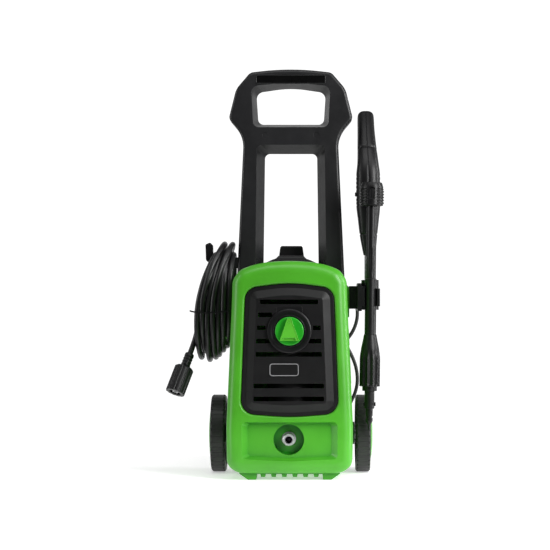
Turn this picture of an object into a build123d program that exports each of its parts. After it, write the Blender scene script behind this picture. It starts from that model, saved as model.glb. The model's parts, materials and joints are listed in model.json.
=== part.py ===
from build123d import *
import math
import os

# Upright electric pressure washer with its hose, cord, gun and lance stored on it.
# Millimetres. X to the right seen from the front, Y to the back, Z up from the floor.
# The lengths below are from the casing's centre plane, its front-to-rear seam and the floor.

# The origin is under the middle of the object's box, this far from that centre plane and seam.
ORIGIN_X = 6.0
ORIGIN_Y = 2.0

# Casing
CASING_FRONT = -110.0
CASING_BACK = 95.0
CASING_BOTTOM = 12.0
CASING_TOP = 408.5
SHOULDER_Z = 372.0
SHOULDER_X = 106.5
WAIST_X = 118.0
WALL = 3.0
EDGE_ROUND = 20.0
LIP_ROUND = 4.0

# Front panel and power knob
PANEL_TOP_Z = 366.0
PANEL_BOTTOM_Z = 119.0
PANEL_FACE = -113.0
KNOB_Z = 277.5
KNOB_DISC_R = 26.5
COLLAR_R = 41.0

# Water connections
OUTLET_Z = 75.5
OUTLET_X = -1.5
OUTLET_R = 11.0
INLET_Z = 104.0
INLET_R = 13.2
INLET_THREAD_Y = 96.0
INLET_END_Y = 112.0

# Wheels
WHEEL_R = 75.0
WHEEL_WIDTH = 28.0
WHEEL_X = 140.0
AXLE_Y = 62.0
AXLE_R = 6.0
RUNNING_GAP = 0.05

# Handle
HANDLE_FRONT = 40.0
HANDLE_SEAM = 60.0
HANDLE_BACK = 80.0
HANDLE_TOP_Z = 787.0
HANDLE_FOOT_Z = 290.0
LEG_TOP_Z = 412.0

# Lance, stored upright in front of the right wheel, leaning this much to the right
LANCE_Y = -25.0
LANCE_FOOT_X = 150.0
LANCE_FOOT_Z = 88.0
LANCE_LEAN = 0.7
HOLDER_SCREW_Y = (18, 31)

# Gun, stored barrel down behind the lance
GUN_Y = 42.0
GUN_NOSE_Z = 422.0
BARREL_R = 7.5
TRIGGER_PIVOT = (151.0, 60.0, 484.0)
LOCK_Y = 38.0
LOCK_Z = 540.0
LOCK_R = 4.0

# Drive train
MOTOR_Y = 12.0
PUMP_Y = -28.0
GEAR_TEETH = 48
PINION_TEETH = 12
GEAR_Z = 176.0
GEAR_WIDTH = 12.0

# High-pressure hose and power cord
HOSE_D = 10.6
HOSE_Y = 48.0
HOSE_HALF_DEPTH = 76.0
HOSE_LOW_Z = 215.0
HOSE_HIGH_Z = 449.0
CORD_D = 7.0
CORD_COIL_R = 104.0
CORD_BUNDLE = 21.0
CORD_COIL_Z = 318.0
CORD_COIL_Y = 111.5

# The hose's free end, from inside the coil's front left corner to the nut's sleeve.
HOSE_END = [(-168.0, -19.0, 340.0), (-171.0, -7.0, 322.0), (-174.5, 3.0, 303.0), (-177.5, 6.5, 283.0),
            (-182.0, 5.0, 263.5), (-187.5, 0.0, 245.5), (-193.8, -7.0, 228.0)]

# The cord's lead from its gland up into the coil, its one loose turn, and its tail down to the plug.
CORD_LEAD = [(-50.0, 107.0, 176.0), (-47.5, 108.0, 206.0), (-50.0, 110.0, 235.0), (-59.0, 111.5, 262.0)]
CORD_LOOSE_TURN = [(50.0, 112.0, 399.0), (80.0, 114.0, 386.0), (106.0, 116.0, 366.0), (126.0, 117.0, 340.0),
                   (133.0, 117.0, 310.0), (127.0, 117.0, 280.0), (110.0, 115.0, 254.0), (84.0, 113.0, 238.0),
                   (54.0, 112.0, 232.0)]
CORD_TAIL = [(94.0, 116.0, 322.0), (96.0, 118.0, 300.0), (98.5, 120.5, 278.0), (104.0, 124.0, 257.0),
             (113.0, 127.0, 238.0), (123.0, 130.0, 219.0), (130.5, 133.0, 196.0), (132.5, 136.0, 169.0),
             (125.5, 137.0, 142.0), (111.0, 134.0, 117.0)]


# ---------------------------------------------------------------- helpers

def box(x0, x1, y0, y1, z0, z1):
    centre = Pos((x0 + x1) / 2, (y0 + y1) / 2, (z0 + z1) / 2)
    return centre * Box(x1 - x0, y1 - y0, z1 - z0)


def rod(start, end, radius):
    run = Vector(*end) - Vector(*start)
    return extrude(Plane(origin=start, z_dir=run) * Circle(radius), amount=run.length)


def pipe(start, end, outer, inner):
    return rod(start, end, outer) - rod(start, end, inner)


def outline(points, radii):
    return make_face(FilletPolyline(*points, radius=radii, close=True))


def mirrored(half):
    """Right-hand points, bottom to top, followed by their mirror images, top to bottom."""
    return half + [(-x, z) for x, z in reversed(half)]


def front_plate(sketch, front, back):
    """A front-view sketch (x, z), thick from y = front to y = back."""
    return extrude(Plane.XZ.offset(-back) * sketch, amount=back - front)


def side_plate(sketch, left, right):
    """A side-view sketch (y, z), thick from x = left to x = right."""
    return extrude(Plane.YZ.offset(left) * sketch, amount=right - left)


def funnel(front_sketch, front, back_sketch, back):
    """A solid that narrows from one front-view sketch to another."""
    return loft([Plane.XZ.offset(-back) * back_sketch, Plane.XZ.offset(-front) * front_sketch], ruled=True)


def edges_at(solid, axis, place, slack=0.01):
    return solid.edges().filter_by_position(axis, place - slack, place + slack)


def turned(profile, x, y):
    """A solid of revolution about a vertical axis from its (radius, z) profile."""
    face = make_face(Polyline(*profile, close=True))
    return Pos(x, y, 0) * revolve(Plane.XZ * face, Axis.Z)


def screw(head, tip, radius=2.0, head_radius=4.0, head_length=3.0):
    run = (Vector(*tip) - Vector(*head)).normalized()
    shoulder = Vector(*head) + run * head_length
    return rod(head, tuple(shoulder), head_radius) + rod(tuple(shoulder), tip, radius)


def save(name, shape):
    placed = Pos(-ORIGIN_X, -ORIGIN_Y, 0) * shape
    export_step(placed, f"parts/{name}.step")


def group(pieces):
    return Compound([solid for piece in pieces for solid in piece.solids()])


# ---------------------------------------------------------------- casing

def casing_outline(inset):
    """The casing seen from the front: round shoulders, a slightly arched top, and chamfered lower corners."""
    half = [(95, CASING_BOTTOM), (WAIST_X - 1, 26), (WAIST_X, 100), (107.5, 335), (SHOULDER_X, SHOULDER_Z),
            (93, 391), (70, 400), (44, CASING_TOP - 3)]
    points = mirrored(half)
    points.insert(len(half), (0, CASING_TOP))
    radii = [40, 24, 300, 300, 28, 28, 90, 120]
    sketch = outline(points, radii + [300] + radii[::-1])
    return offset(sketch, -inset) if inset else sketch


def shell_half(front, back, rounded_y, outer_face_y):
    """One half of the casing, walls WALL thick, its outer face rounded all round."""
    outer = front_plate(casing_outline(0), front, back)
    outer = fillet(edges_at(outer, Axis.Y, rounded_y), EDGE_ROUND)
    inward = WALL if rounded_y < outer_face_y else -WALL
    low, high = sorted((rounded_y + inward, outer_face_y))
    inner = front_plate(casing_outline(WALL), low, high)
    inner = fillet(edges_at(inner, Axis.Y, rounded_y + inward), EDGE_ROUND - WALL)
    return outer - inner


def panel_outline(inset):
    half = [(91.5, PANEL_BOTTOM_Z + 5), (82.5, PANEL_TOP_Z - 9)]
    points = mirrored(half)
    points.insert(len(half), (0, PANEL_TOP_Z + 2))
    points.append((0, PANEL_BOTTOM_Z - 2))
    radii = [27, 25]
    sketch = outline(points, radii + [260] + radii[::-1] + [400])
    return offset(sketch, -inset) if inset else sketch


def pocket_outline(half_width, low, high, round_r):
    points = [(-half_width, low + 4), (0, low), (half_width, low + 4), (half_width, high), (-half_width, high)]
    return outline(points, [round_r, 300, round_r, round_r, round_r])


def front_casing():
    casing = shell_half(CASING_FRONT, 0, CASING_FRONT, 0)
    casing += front_plate(panel_outline(-WALL), CASING_FRONT + 1, CASING_FRONT + 14)
    opening = front_plate(panel_outline(0), CASING_FRONT - 1, CASING_FRONT + 15)
    casing -= opening
    lip = [e for e in edges_at(casing, Axis.Y, CASING_FRONT) if e.center().Z > PANEL_BOTTOM_Z - 5
           and abs(e.center().X) < 91]
    casing = fillet(lip, LIP_ROUND)
    # Outlet pocket: a shallow tray with sloped ends, and a round well inside it.
    tray_wall = front_plate(pocket_outline(92, 34, 111, 9), CASING_FRONT + 1, CASING_FRONT + 15)
    well_wall = rod((OUTLET_X, CASING_FRONT + 2, OUTLET_Z), (OUTLET_X, -74, OUTLET_Z), 31.5)
    casing += tray_wall
    casing += well_wall
    casing -= funnel(pocket_outline(89.5, 36, 109, 8), CASING_FRONT - 0.5,
                     pocket_outline(78, 42, 105.5, 6), CASING_FRONT + 11)
    casing -= rod((OUTLET_X, CASING_FRONT, OUTLET_Z), (OUTLET_X, -78, OUTLET_Z), 28.5)
    casing -= rod((OUTLET_X, CASING_FRONT, OUTLET_Z), (OUTLET_X, -70, OUTLET_Z), 13.5)
    # Bosses that take the casing screws.
    for x, z in screw_places():
        casing += rod((x, -70, z), (x, 0, z), 5) + boss_rib(x, z, -70, 0)
        casing -= rod((x, -40, z), (x, 1, z), 1.9)
    casing += base_teeth()
    casing += front_foot()
    return casing + mirror(front_foot(), about=Plane.YZ)


def base_teeth():
    """The toothed air inlet under the front edge: six short ribs on a bar."""
    bar = box(-66, 66, -88, -78, CASING_BOTTOM - 1.5, CASING_BOTTOM)
    rib = make_face(Polyline((-5.2, CASING_BOTTOM - 1), (5.2, CASING_BOTTOM - 1), (4, 5), (-4, 5), close=True))
    for index in range(6):
        bar += Pos(-49.5 + 19.8 * index, 0, 0) * front_plate(rib, -88, -78)
    return bar


def front_foot():
    """The moulded foot under the right front corner."""
    foot = outline([(61, CASING_BOTTOM + 1), (62, 0), (78, 0), (94, CASING_BOTTOM - 1), (94, CASING_BOTTOM + 1)],
                   [0, 2, 3, 0, 0])
    return front_plate(foot, -88, -48)


def screw_places():
    return [(-98, 60), (98, 60), (-98, 200), (98, 200), (-50, 364), (50, 364)]


def boss_rib(x, z, front, back):
    """The web that joins a screw boss to the nearest wall: a side wall, or the top."""
    low, high = sorted((x, math.copysign(WAIST_X, x)))
    web = box(low, high, front, back, z - 1.5, z + 1.5)
    if z > HANDLE_FOOT_Z:
        web = box(x - 1.5, x + 1.5, front, back, z, CASING_TOP)
    return web & front_plate(casing_outline(1), front, back)


def rear_casing():
    casing = shell_half(0, CASING_BACK, CASING_BACK, 0)
    # Sockets for the handle's two legs.
    for side in (-1, 1):
        leg = leg_block(side, 0.4)
        casing += leg_block(side, 3.4, HANDLE_FOOT_Z - 3.4) & front_plate(casing_outline(1), 1, 88)
        casing -= leg
    # Axle sleeve right across.
    casing += rod((-WAIST_X + 1, AXLE_Y, WHEEL_R), (WAIST_X - 1, AXLE_Y, WHEEL_R), 10)
    for side in (-1, 1):
        casing += rod((side * (WAIST_X - 2), AXLE_Y, WHEEL_R), (side * 124, AXLE_Y, WHEEL_R), 22)
    casing -= rod((-130, AXLE_Y, WHEEL_R), (130, AXLE_Y, WHEEL_R), AXLE_R)
    # Screw tunnels from behind.
    for x, z in screw_places():
        casing += rod((x, 0, z), (x, CASING_BACK - 2.6, z), 6.5) + boss_rib(x, z, 0, CASING_BACK - 24)
        casing -= rod((x, 12, z), (x, CASING_BACK + 1, z), 4.5)
        casing -= rod((x, -1, z), (x, 13, z), 2.2)
    # Cooling slots, water inlet hole, cord gland hole.
    for row in range(5):
        z = 190 + 13 * row
        casing -= box(-46, 46, CASING_BACK - 6, CASING_BACK + 1, z, z + 6)
    casing -= rod((0, CASING_BACK - 8, INLET_Z), (0, CASING_BACK + 1, INLET_Z), INLET_R + 0.2)
    casing -= rod((-50, CASING_BACK - 8, 139), (-50, CASING_BACK + 1, 139), 7)
    # Holes for the cord hook's posts.
    for x in (-20, 20):
        casing -= rod((x, 74, 390), (x, 74, 410), 3.1)
    # The raised pad behind the lance holder, and low pads on both sides.
    casing += box(104, 113, 8, 52, 302, 361) & front_plate(offset(casing_outline(0), 5.5), 0, 80)
    for y in HOLDER_SCREW_Y:
        casing -= rod((100, y, 340), (120, y, 340), 2)
    ribbed = front_plate(offset(casing_outline(0), 2.5), 20, 56) - front_plate(casing_outline(WALL - 0.5), 20, 56)
    for low, high in ((174, 228), (248, 279)):
        casing += ribbed & box(100, 125, 20, 56, low, high)
    for low, high in ((306, 319), (341, 360)):
        casing += ribbed & box(-125, -100, 20, 56, low, high)
    return casing


def leg_block(side, growth, foot=HANDLE_FOOT_Z):
    """The space of one handle leg inside the casing, grown by growth on each side."""
    inner, outer = 64 - growth, 96 + growth
    low, high = sorted((side * inner, side * outer))
    return box(low, high, HANDLE_FRONT + 4 - growth, HANDLE_BACK - 4 + growth, foot, CASING_TOP + 20)


def front_panel():
    """A vented cover: a thin rim bead, a bevel, and a flat centre that stands forward."""
    gap = 0.4
    back = CASING_FRONT + 8
    rim = front_plate(panel_outline(gap), CASING_FRONT + 3.5, back)
    rim = fillet(edges_at(rim, Axis.Y, CASING_FRONT + 3.5), 2)
    raised = funnel(panel_outline(22), PANEL_FACE, panel_outline(5), CASING_FRONT + 5)
    hollow = funnel(panel_outline(24), PANEL_FACE + WALL, panel_outline(8), CASING_FRONT + 8.1)
    panel = rim + raised - hollow
    slot_height = 8.7
    rows = [
        (331.5, [(-54.5, 53)]),
        (307.5, [(-58, -32)]),
        (283.5, [(-60, -44), (43.5, 57.5)]),
        (259.0, [(-62, -33.5), (32.5, 59)]),
        (234.5, [(-62.5, 60)]),
        (176.0, [(-66.5, 64)]),
        (152.0, [(-66.5, 64)]),
    ]
    for z, spans in rows:
        for x0, x1 in spans:
            slot = Pos((x0 + x1) / 2, z) * RectangleRounded(x1 - x0, slot_height, 1)
            panel -= front_plate(slot, PANEL_FACE - 4, PANEL_FACE + 6)
    panel -= rod((0, CASING_FRONT + 10, KNOB_Z), (0, PANEL_FACE - 2, KNOB_Z), 12)
    for side in (-1, 1):
        panel += rod((side * 74, PANEL_FACE + 4, 164), (side * 74, back + 18, 164), 3.5)
    return panel


def panel_badge():
    plate = Pos(-10, 0) * RectangleRounded(56, 25, 4)
    badge = front_plate(Pos(0, 206) * plate, PANEL_FACE - 1.6, PANEL_FACE)
    return chamfer(edges_at(badge, Axis.Y, PANEL_FACE - 1.6), 0.5)


def knob_collar():
    """The fixed ring round the knob, with a tab at its top."""
    ring = rod((0, PANEL_FACE, KNOB_Z), (0, PANEL_FACE - 7, KNOB_Z), COLLAR_R)
    tab = outline([(-20, KNOB_Z + 25), (20, KNOB_Z + 25), (24, 335), (-24, 335)], [2, 2, 5, 5])
    ring += front_plate(tab, PANEL_FACE - 4, PANEL_FACE)
    ring = fillet(edges_at(ring, Axis.Y, PANEL_FACE - 7), 2.4)
    ring -= rod((0, PANEL_FACE - 3, KNOB_Z), (0, PANEL_FACE - 8, KNOB_Z), KNOB_DISC_R + 1)
    return ring - rod((0, PANEL_FACE + 1, KNOB_Z), (0, PANEL_FACE - 8, KNOB_Z), 12)


def power_knob():
    disc = rod((0, PANEL_FACE - 4, KNOB_Z), (0, PANEL_FACE - 11, KNOB_Z), KNOB_DISC_R)
    disc = fillet(edges_at(disc, Axis.Y, PANEL_FACE - 11), 2)
    return disc + rod((0, PANEL_FACE - 4, KNOB_Z), (0, CASING_FRONT + 24, KNOB_Z), 5)


def knob_pointer():
    """The raised grip that shows the knob's position: a wedge with its apex up."""
    wedge = outline([(-15.5, KNOB_Z - 17), (15.5, KNOB_Z - 17), (3.5, KNOB_Z + 23.5), (-3.5, KNOB_Z + 23.5)],
                    [3, 3, 3, 3])
    pointer = front_plate(wedge, PANEL_FACE - 21, PANEL_FACE - 11)
    pointer = fillet(edges_at(pointer, Axis.Y, PANEL_FACE - 21), 1.8)
    dish = outline([(-10, KNOB_Z - 13), (10, KNOB_Z - 13), (1.2, KNOB_Z + 17), (-1.2, KNOB_Z + 17)], [2, 2, 1, 1])
    return pointer - front_plate(dish, PANEL_FACE - 22, PANEL_FACE - 19.5)


def switch_box():
    shell = box(-24, 24, -84, -62, KNOB_Z - 20, KNOB_Z + 20)
    shell += rod((0, -90, KNOB_Z), (0, -83, KNOB_Z), 9)
    return shell - rod((0, -91, KNOB_Z), (0, -74, KNOB_Z), 5 + RUNNING_GAP)


def casing_screws():
    """The six that close the casing and the two that hold the lance holder."""
    closing = [screw((x, 16, z), (x, -30, z), 1.8, 4, 3) for x, z in screw_places()]
    holding = [screw((131, y, 340), (107, y, 340), 1.8, 4, 3) for y in HOLDER_SCREW_Y]
    return group(closing + holding)


# ---------------------------------------------------------------- handle

def handle_outline(inset):
    half = [(97, HANDLE_FOOT_Z), (105, 372), (91.7, 653), (121, 688), (106.5, 746), (79, 778)]
    points = mirrored(half)
    points.insert(len(half), (0, HANDLE_TOP_Z))
    radii = [4, 0, 60, 14, 40, 16]
    sketch = outline(points, radii + [500] + radii[::-1])
    return offset(sketch, -inset) if inset else sketch


def lower_opening(growth):
    half = [(56 + growth, HANDLE_FOOT_Z - 40), (51 + growth, 622 + growth)]
    return outline(mirrored(half), [0, 10, 10, 0])


def upper_opening(growth):
    half = [(64 + growth, 680 - growth), (68 + growth, 742 + growth)]
    points = mirrored(half)
    points.insert(len(half), (0, 752 + growth * 0.7))
    return outline(points, [11, 14, 200, 14, 11])


def handle_half(front, back, outer_y):
    """Front or rear half of the handle, hollow, open where the halves meet."""
    solid = front_plate(handle_outline(0), front, back)
    solid = fillet([e for e in edges_at(solid, Axis.Y, outer_y) if e.center().Z > 405], 6)
    solid -= funnel(lower_opening(15), HANDLE_FRONT - 0.2, lower_opening(0), HANDLE_BACK + 0.2)
    solid -= funnel(upper_opening(9), HANDLE_FRONT - 0.2, upper_opening(0), HANDLE_BACK + 0.2)
    # Inside the casing the legs are straight and fit its sockets.
    solid -= front_plate(casing_outline(-0.4), front - 1, back + 1)
    legs = sum_of([leg_block(side, 0) for side in (-1, 1)])
    return solid + (legs & box(-150, 150, front, back, HANDLE_FOOT_Z, LEG_TOP_Z))


def sum_of(pieces):
    total = pieces[0]
    for piece in pieces[1:]:
        total += piece
    return total


def handle_hollow(front, back):
    """What is empty inside the grip, bridge and legs of one half."""
    room = front_plate(handle_outline(7), front, back) & box(-150, 150, front, back, 420, 780)
    room -= front_plate(lower_opening(20), front, back)
    return room - front_plate(upper_opening(14), front, back)


def handle_front():
    half = handle_half(HANDLE_FRONT, HANDLE_SEAM, HANDLE_FRONT)
    half -= handle_hollow(HANDLE_FRONT + 5, HANDLE_SEAM + 1)
    grip = outline([(-68, 759), (0, 768), (68, 759), (66, 769), (0, 778), (-66, 769)], [4, 400, 4, 4, 400, 4])
    half -= front_plate(grip, HANDLE_FRONT - 1, HANDLE_FRONT + 1.5)
    for x in (-50, 50):
        half -= rod((x, HANDLE_FRONT - 1, 655), (x, HANDLE_FRONT + 0.8, 655), 6)
    return half


def handle_screw_places():
    return [(-88, 440), (88, 440), (-80, 560), (80, 560), (-86, 660), (86, 660), (-96, 722), (96, 722)]


def handle_rear():
    half = handle_half(HANDLE_SEAM, HANDLE_BACK, HANDLE_BACK)
    half -= handle_hollow(HANDLE_SEAM - 1, HANDLE_BACK - 5)
    for x, z in handle_screw_places():
        half -= rod((x, HANDLE_BACK - 2.5, z), (x, HANDLE_BACK + 1, z), 4.2)
        half -= rod((x, HANDLE_BACK - 6, z), (x, HANDLE_BACK, z), 2.1)
    return half


def handle_screws():
    return group([screw((x, HANDLE_BACK - 0.3, z), (x, HANDLE_SEAM + 6, z), 2, 4, 2.2)
                  for x, z in handle_screw_places()])


# ---------------------------------------------------------------- hooks and holder

def hose_hook():
    """A clip on the left leg with an arm that reaches out and turns up at its end."""
    side = outline([(-95, 396), (-150, 400), (-165, 412), (-166, 443), (-157, 447), (-151.5, 441), (-151, 418),
                    (-95, 418)], [0, 14, 8, 3, 3, 3, 1, 0])
    arm = front_plate(side, 41, 57)
    return arm - front_plate(handle_outline(0), HANDLE_FRONT, HANDLE_BACK)


def cord_hook():
    """A cradle on the rear shoulder: a base block, an arm to the back, and an upturned tab."""
    profile = outline([(66, 408.4), (86, 408.4), (96.3, 395), (96.3, 386), (131, 386), (131, 442), (124, 444),
                       (124, 394.5), (100, 394.5), (98.5, 422), (70, 422)], [0, 0, 0, 0, 5, 3, 3, 1, 1, 4, 6])
    cradle = side_plate(profile, -38, 38)
    for side in (-1, 1):
        low, high = sorted((side * 26, side * 40))
        cradle -= box(low, high, 99, 132, 380, 450)
        cradle += rod((side * 20, 74, 396), (side * 20, 74, 410), 3)
    shape = outline(mirrored([(38, 380), (38, 409), (25, 421), (22, 444)]), [2, 9, 8, 7, 7, 8, 9, 2])
    return cradle & front_plate(shape, 60, 140)


def lance_x(z):
    return LANCE_FOOT_X + (z - LANCE_FOOT_Z) * math.tan(math.radians(LANCE_LEAN))


def leaned(shape):
    """Leans a shape that was made upright at the lance's foot."""
    pivot = Pos(LANCE_FOOT_X, LANCE_Y, LANCE_FOOT_Z)
    return pivot * Rot(0, LANCE_LEAN, 0) * Pos(-LANCE_FOOT_X, -LANCE_Y, -LANCE_FOOT_Z) * shape


def lance_holder():
    """A bracket on the right side: a spring clip for the lance in front, a socket for the gun behind."""
    arm = box(113.2, 133, 12, 50, 318, 362)
    arm += box(128, 136, -42, 60, 314, 367)
    front = Pos(lance_x(340), LANCE_Y, 0) * Cylinder(18, 34)
    arm += Pos(0, 0, 340) * front
    arm += Pos(154, GUN_Y, 345) * Cylinder(17, 58)
    arm += box(128, 150, GUN_Y - 16, GUN_Y + 16, 318, 362)
    arm += box(128, 150, LANCE_Y - 14, LANCE_Y + 14, 324, 356)
    arm += box(136, 152, -8, 27, 330, 350)
    groove = leaned(rod((LANCE_FOOT_X, LANCE_Y, 300), (LANCE_FOOT_X, LANCE_Y, 400), 12))
    arm -= groove
    arm -= box(lance_x(340) - 11.8, lance_x(340) + 11.8, -60, LANCE_Y, 300, 400)
    arm -= box(lance_x(340) - 30, lance_x(340) + 30, -60, LANCE_Y - 9, 300, 400)
    for y in HOLDER_SCREW_Y:
        arm -= rod((100, y, 340), (160, y, 340), 2) + rod((127.9, y, 340), (150, y, 340), 4.4)
    return arm - rod((154, GUN_Y, 300), (154, GUN_Y, 400), BARREL_R + 0.4)


# ---------------------------------------------------------------- wheels

def wheel_turned(profile):
    """A solid of revolution about the axle, from its (distance out from x = 0, radius) profile."""
    face = make_face(Polyline(*profile, close=True))
    solid = revolve(face, Axis.X)
    return Pos(0, AXLE_Y, WHEEL_R) * solid


def wheel():
    """A moulded wheel: tread with edge notches, a dished face with spokes, and a hub."""
    near, far = WHEEL_X - WHEEL_WIDTH / 2, WHEEL_X + WHEEL_WIDTH / 2
    rim = wheel_turned([(near, 62), (near, 72), (near + 3, WHEEL_R), (far - 3, WHEEL_R), (far, 72), (far, 60),
                        (far - 4, 58), (near + 10, 58), (near + 4, 62)])
    web = wheel_turned([(near + 9, 14), (near + 9, 60), (near + 14, 60), (near + 14, 14)])
    hub = wheel_turned([(near, AXLE_R), (near, 17), (far - 4, 15), (far - 4, AXLE_R)])
    hub -= rod((100, AXLE_Y, WHEEL_R), (170, AXLE_Y, WHEEL_R), AXLE_R + RUNNING_GAP)
    solid = rim + web + hub
    notch_count = 36
    for index in range(notch_count):
        turn = Pos(0, AXLE_Y, WHEEL_R) * Rot(360 / notch_count * index, 0, 0)
        for x in (near, far):
            solid -= turn * Pos(x, 0, WHEEL_R) * Box(9, 5, 3.2)
    return solid


def hub_cap():
    """The domed cover in the wheel's outer face."""
    base, top = WHEEL_X + WHEEL_WIDTH / 2 - 3.5, 159
    return wheel_turned([(base, 0), (base, 53), (top - 4, 53), (top - 2, 44), (top - 0.4, 26), (top, 0)])


def axle():
    bar = rod((-149, AXLE_Y, WHEEL_R), (149, AXLE_Y, WHEEL_R), AXLE_R)
    return chamfer(bar.edges().filter_by(GeomType.CIRCLE), 1)


def wheel_washers():
    bore = AXLE_R + 0.1
    return group([pipe((side * 124.3, AXLE_Y, WHEEL_R), (side * 125.7, AXLE_Y, WHEEL_R), 11, bore)
                  for side in (-1, 1)])


# ---------------------------------------------------------------- motor, gears and pump

def gear(teeth, module, width, bore, phase):
    """A spur gear with straight-flanked teeth, a little thin so that a pair runs free."""
    root = module * (teeth / 2 - 1.25)
    tip = module * (teeth / 2 + 0.9)
    pitch = module * teeth / 2
    thin = 0.22
    at_pitch = math.pi * module / 4 - thin
    at_tip = at_pitch - (tip - pitch) * math.tan(math.radians(20))
    at_root = at_pitch + (pitch - root) * math.tan(math.radians(20))
    tooth = make_face(Polyline((root - 1, -at_root), (root, -at_root), (tip, -at_tip), (tip, at_tip),
                               (root, at_root), (root - 1, at_root), close=True))
    blank = Circle(root)
    for index in range(teeth):
        blank += Rot(0, 0, 360 / teeth * index + phase) * tooth
    return extrude(blank - Circle(bore), amount=width) if bore else extrude(blank, amount=width)


def gear_module():
    return 2 * (MOTOR_Y - PUMP_Y) / (GEAR_TEETH + PINION_TEETH)


def drive_gear():
    return Pos(0, PUMP_Y, GEAR_Z) * gear(GEAR_TEETH, gear_module(), GEAR_WIDTH, 5, 90)


def pinion():
    half_tooth = 180 / PINION_TEETH
    return Pos(0, MOTOR_Y, GEAR_Z) * gear(PINION_TEETH, gear_module(), GEAR_WIDTH, 4, 270 + half_tooth)


def swash_plate():
    """The slanted disc that pushes the pistons, with the gear's shaft."""
    disc = Pos(0, PUMP_Y, 165) * Cylinder(30, 18)
    slant = Pos(0, PUMP_Y, 156) * Rot(8, 0, 0) * Pos(0, 0, -20) * Box(90, 90, 40)
    return disc - slant + rod((0, PUMP_Y, 172), (0, PUMP_Y, 196), 5)


def rotor():
    """The armature on the motor's shaft."""
    core = rod((0, MOTOR_Y, 222), (0, MOTOR_Y, 272), 26)
    for index in range(12):
        core -= Pos(0, MOTOR_Y, 247) * Rot(0, 0, 30 * index) * Pos(26, 0, 0) * Box(8, 4, 60)
    return core + rod((0, MOTOR_Y, GEAR_Z - 2), (0, MOTOR_Y, 330), 4)


def commutator():
    return pipe((0, MOTOR_Y, 278), (0, MOTOR_Y, 296), 12, 4)


def cooling_fan():
    hub = pipe((0, MOTOR_Y, 312), (0, MOTOR_Y, 324), 10, 4)
    disc = pipe((0, MOTOR_Y, 312), (0, MOTOR_Y, 314), 38, 9)
    fan = hub + disc
    for index in range(9):
        fan += Pos(0, MOTOR_Y, 318) * Rot(0, 0, 40 * index) * Pos(23, 0, 0) * Rot(0, 0, 25) * Box(28, 2, 10)
    return fan


def motor_stator():
    ring = pipe((0, MOTOR_Y, 220), (0, MOTOR_Y, 274), 42, 27)
    for side in (-1, 1):
        ring += Pos(side * 33, MOTOR_Y, 247) * Box(10, 30, 66)
    return ring


def motor_housing():
    """The cup round the motor, with a foot plate on the gear case and a bearing at the top."""
    can = pipe((0, MOTOR_Y, 208), (0, MOTOR_Y, 300), 47, 43)
    can += pipe((0, MOTOR_Y, 204), (0, MOTOR_Y, 209), 47, 4 + RUNNING_GAP)
    can += pipe((0, MOTOR_Y, 299), (0, MOTOR_Y, 304), 47, 30)
    bridge = box(-32, 32, MOTOR_Y - 7, MOTOR_Y + 7, 304, 308)
    return can + bridge - rod((0, MOTOR_Y, 300), (0, MOTOR_Y, 310), 4 + RUNNING_GAP)


def carbon_brushes():
    return group([box(12.3, 30, MOTOR_Y - 4, MOTOR_Y + 4, 283, 291),
                  box(-30, -12.3, MOTOR_Y - 4, MOTOR_Y + 4, 283, 291)])


def gear_case():
    """The box that holds the gears and the swash plate between the motor and the pump head."""
    wall = outline([(-42, -72), (42, -72), (42, 28), (-42, 28)], [38, 38, 14, 14])
    case = Pos(0, 0, 138) * extrude(wall, amount=66)
    room = outline([(-38, -68), (38, -68), (38, 24), (-38, 24)], [34, 34, 10, 10])
    case -= Pos(0, 0, 134) * extrude(room, amount=63)
    case -= rod((0, MOTOR_Y, 190), (0, MOTOR_Y, 210), 4 + RUNNING_GAP)
    return case - rod((0, PUMP_Y, 192), (0, PUMP_Y, 210), 9)


def piston_places():
    return [(22 * math.cos(math.radians(a)), PUMP_Y + 22 * math.sin(math.radians(a))) for a in (90, 210, 330)]


def pistons():
    pieces = []
    for x, y in piston_places():
        pieces.append(rod((x, y, 100), (x, y, 149), 6) + rod((x, y, 146), (x, y, 149), 8.5))
    return group(pieces)


def piston_springs():
    pieces = []
    for x, y in piston_places():
        path = Helix(3.4, 15.3, 8, center=(x, y, 129))
        profile = Plane(origin=path @ 0, z_dir=path % 0) * Circle(0.7)
        pieces.append(sweep(profile, path=path))
    return group(pieces)


def pump_head():
    """The cast head: piston bores above, inlet at the back, outlet at the front."""
    head = box(-38, 38, PUMP_Y - 32, PUMP_Y + 36, 56, 127)
    head = fillet(head.edges().filter_by(Axis.Z), 8)
    for x, y in piston_places():
        head -= rod((x, y, 96), (x, y, 128), 6 + RUNNING_GAP)
    head += rod((OUTLET_X, PUMP_Y - 30, OUTLET_Z), (OUTLET_X, -72, OUTLET_Z), 17)
    head += rod((0, PUMP_Y + 34, INLET_Z), (0, 40, INLET_Z), 13)
    head -= rod((OUTLET_X, PUMP_Y - 10, OUTLET_Z), (OUTLET_X, -73, OUTLET_Z), 6)
    return head - rod((0, PUMP_Y + 10, INLET_Z), (0, 41, INLET_Z), 7)


def outlet_connector():
    """The threaded male outlet that the hose's nut screws onto."""
    start, face = -72, CASING_FRONT + 3
    stub = pipe((OUTLET_X, start, OUTLET_Z), (OUTLET_X, face, OUTLET_Z), OUTLET_R, 7)
    stub += pipe((OUTLET_X, start, OUTLET_Z), (OUTLET_X, -79.5, OUTLET_Z), 13, 7)
    return chamfer(edges_at(stub, Axis.Y, face).filter_by(lambda e: e.radius > 10), 1)


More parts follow.
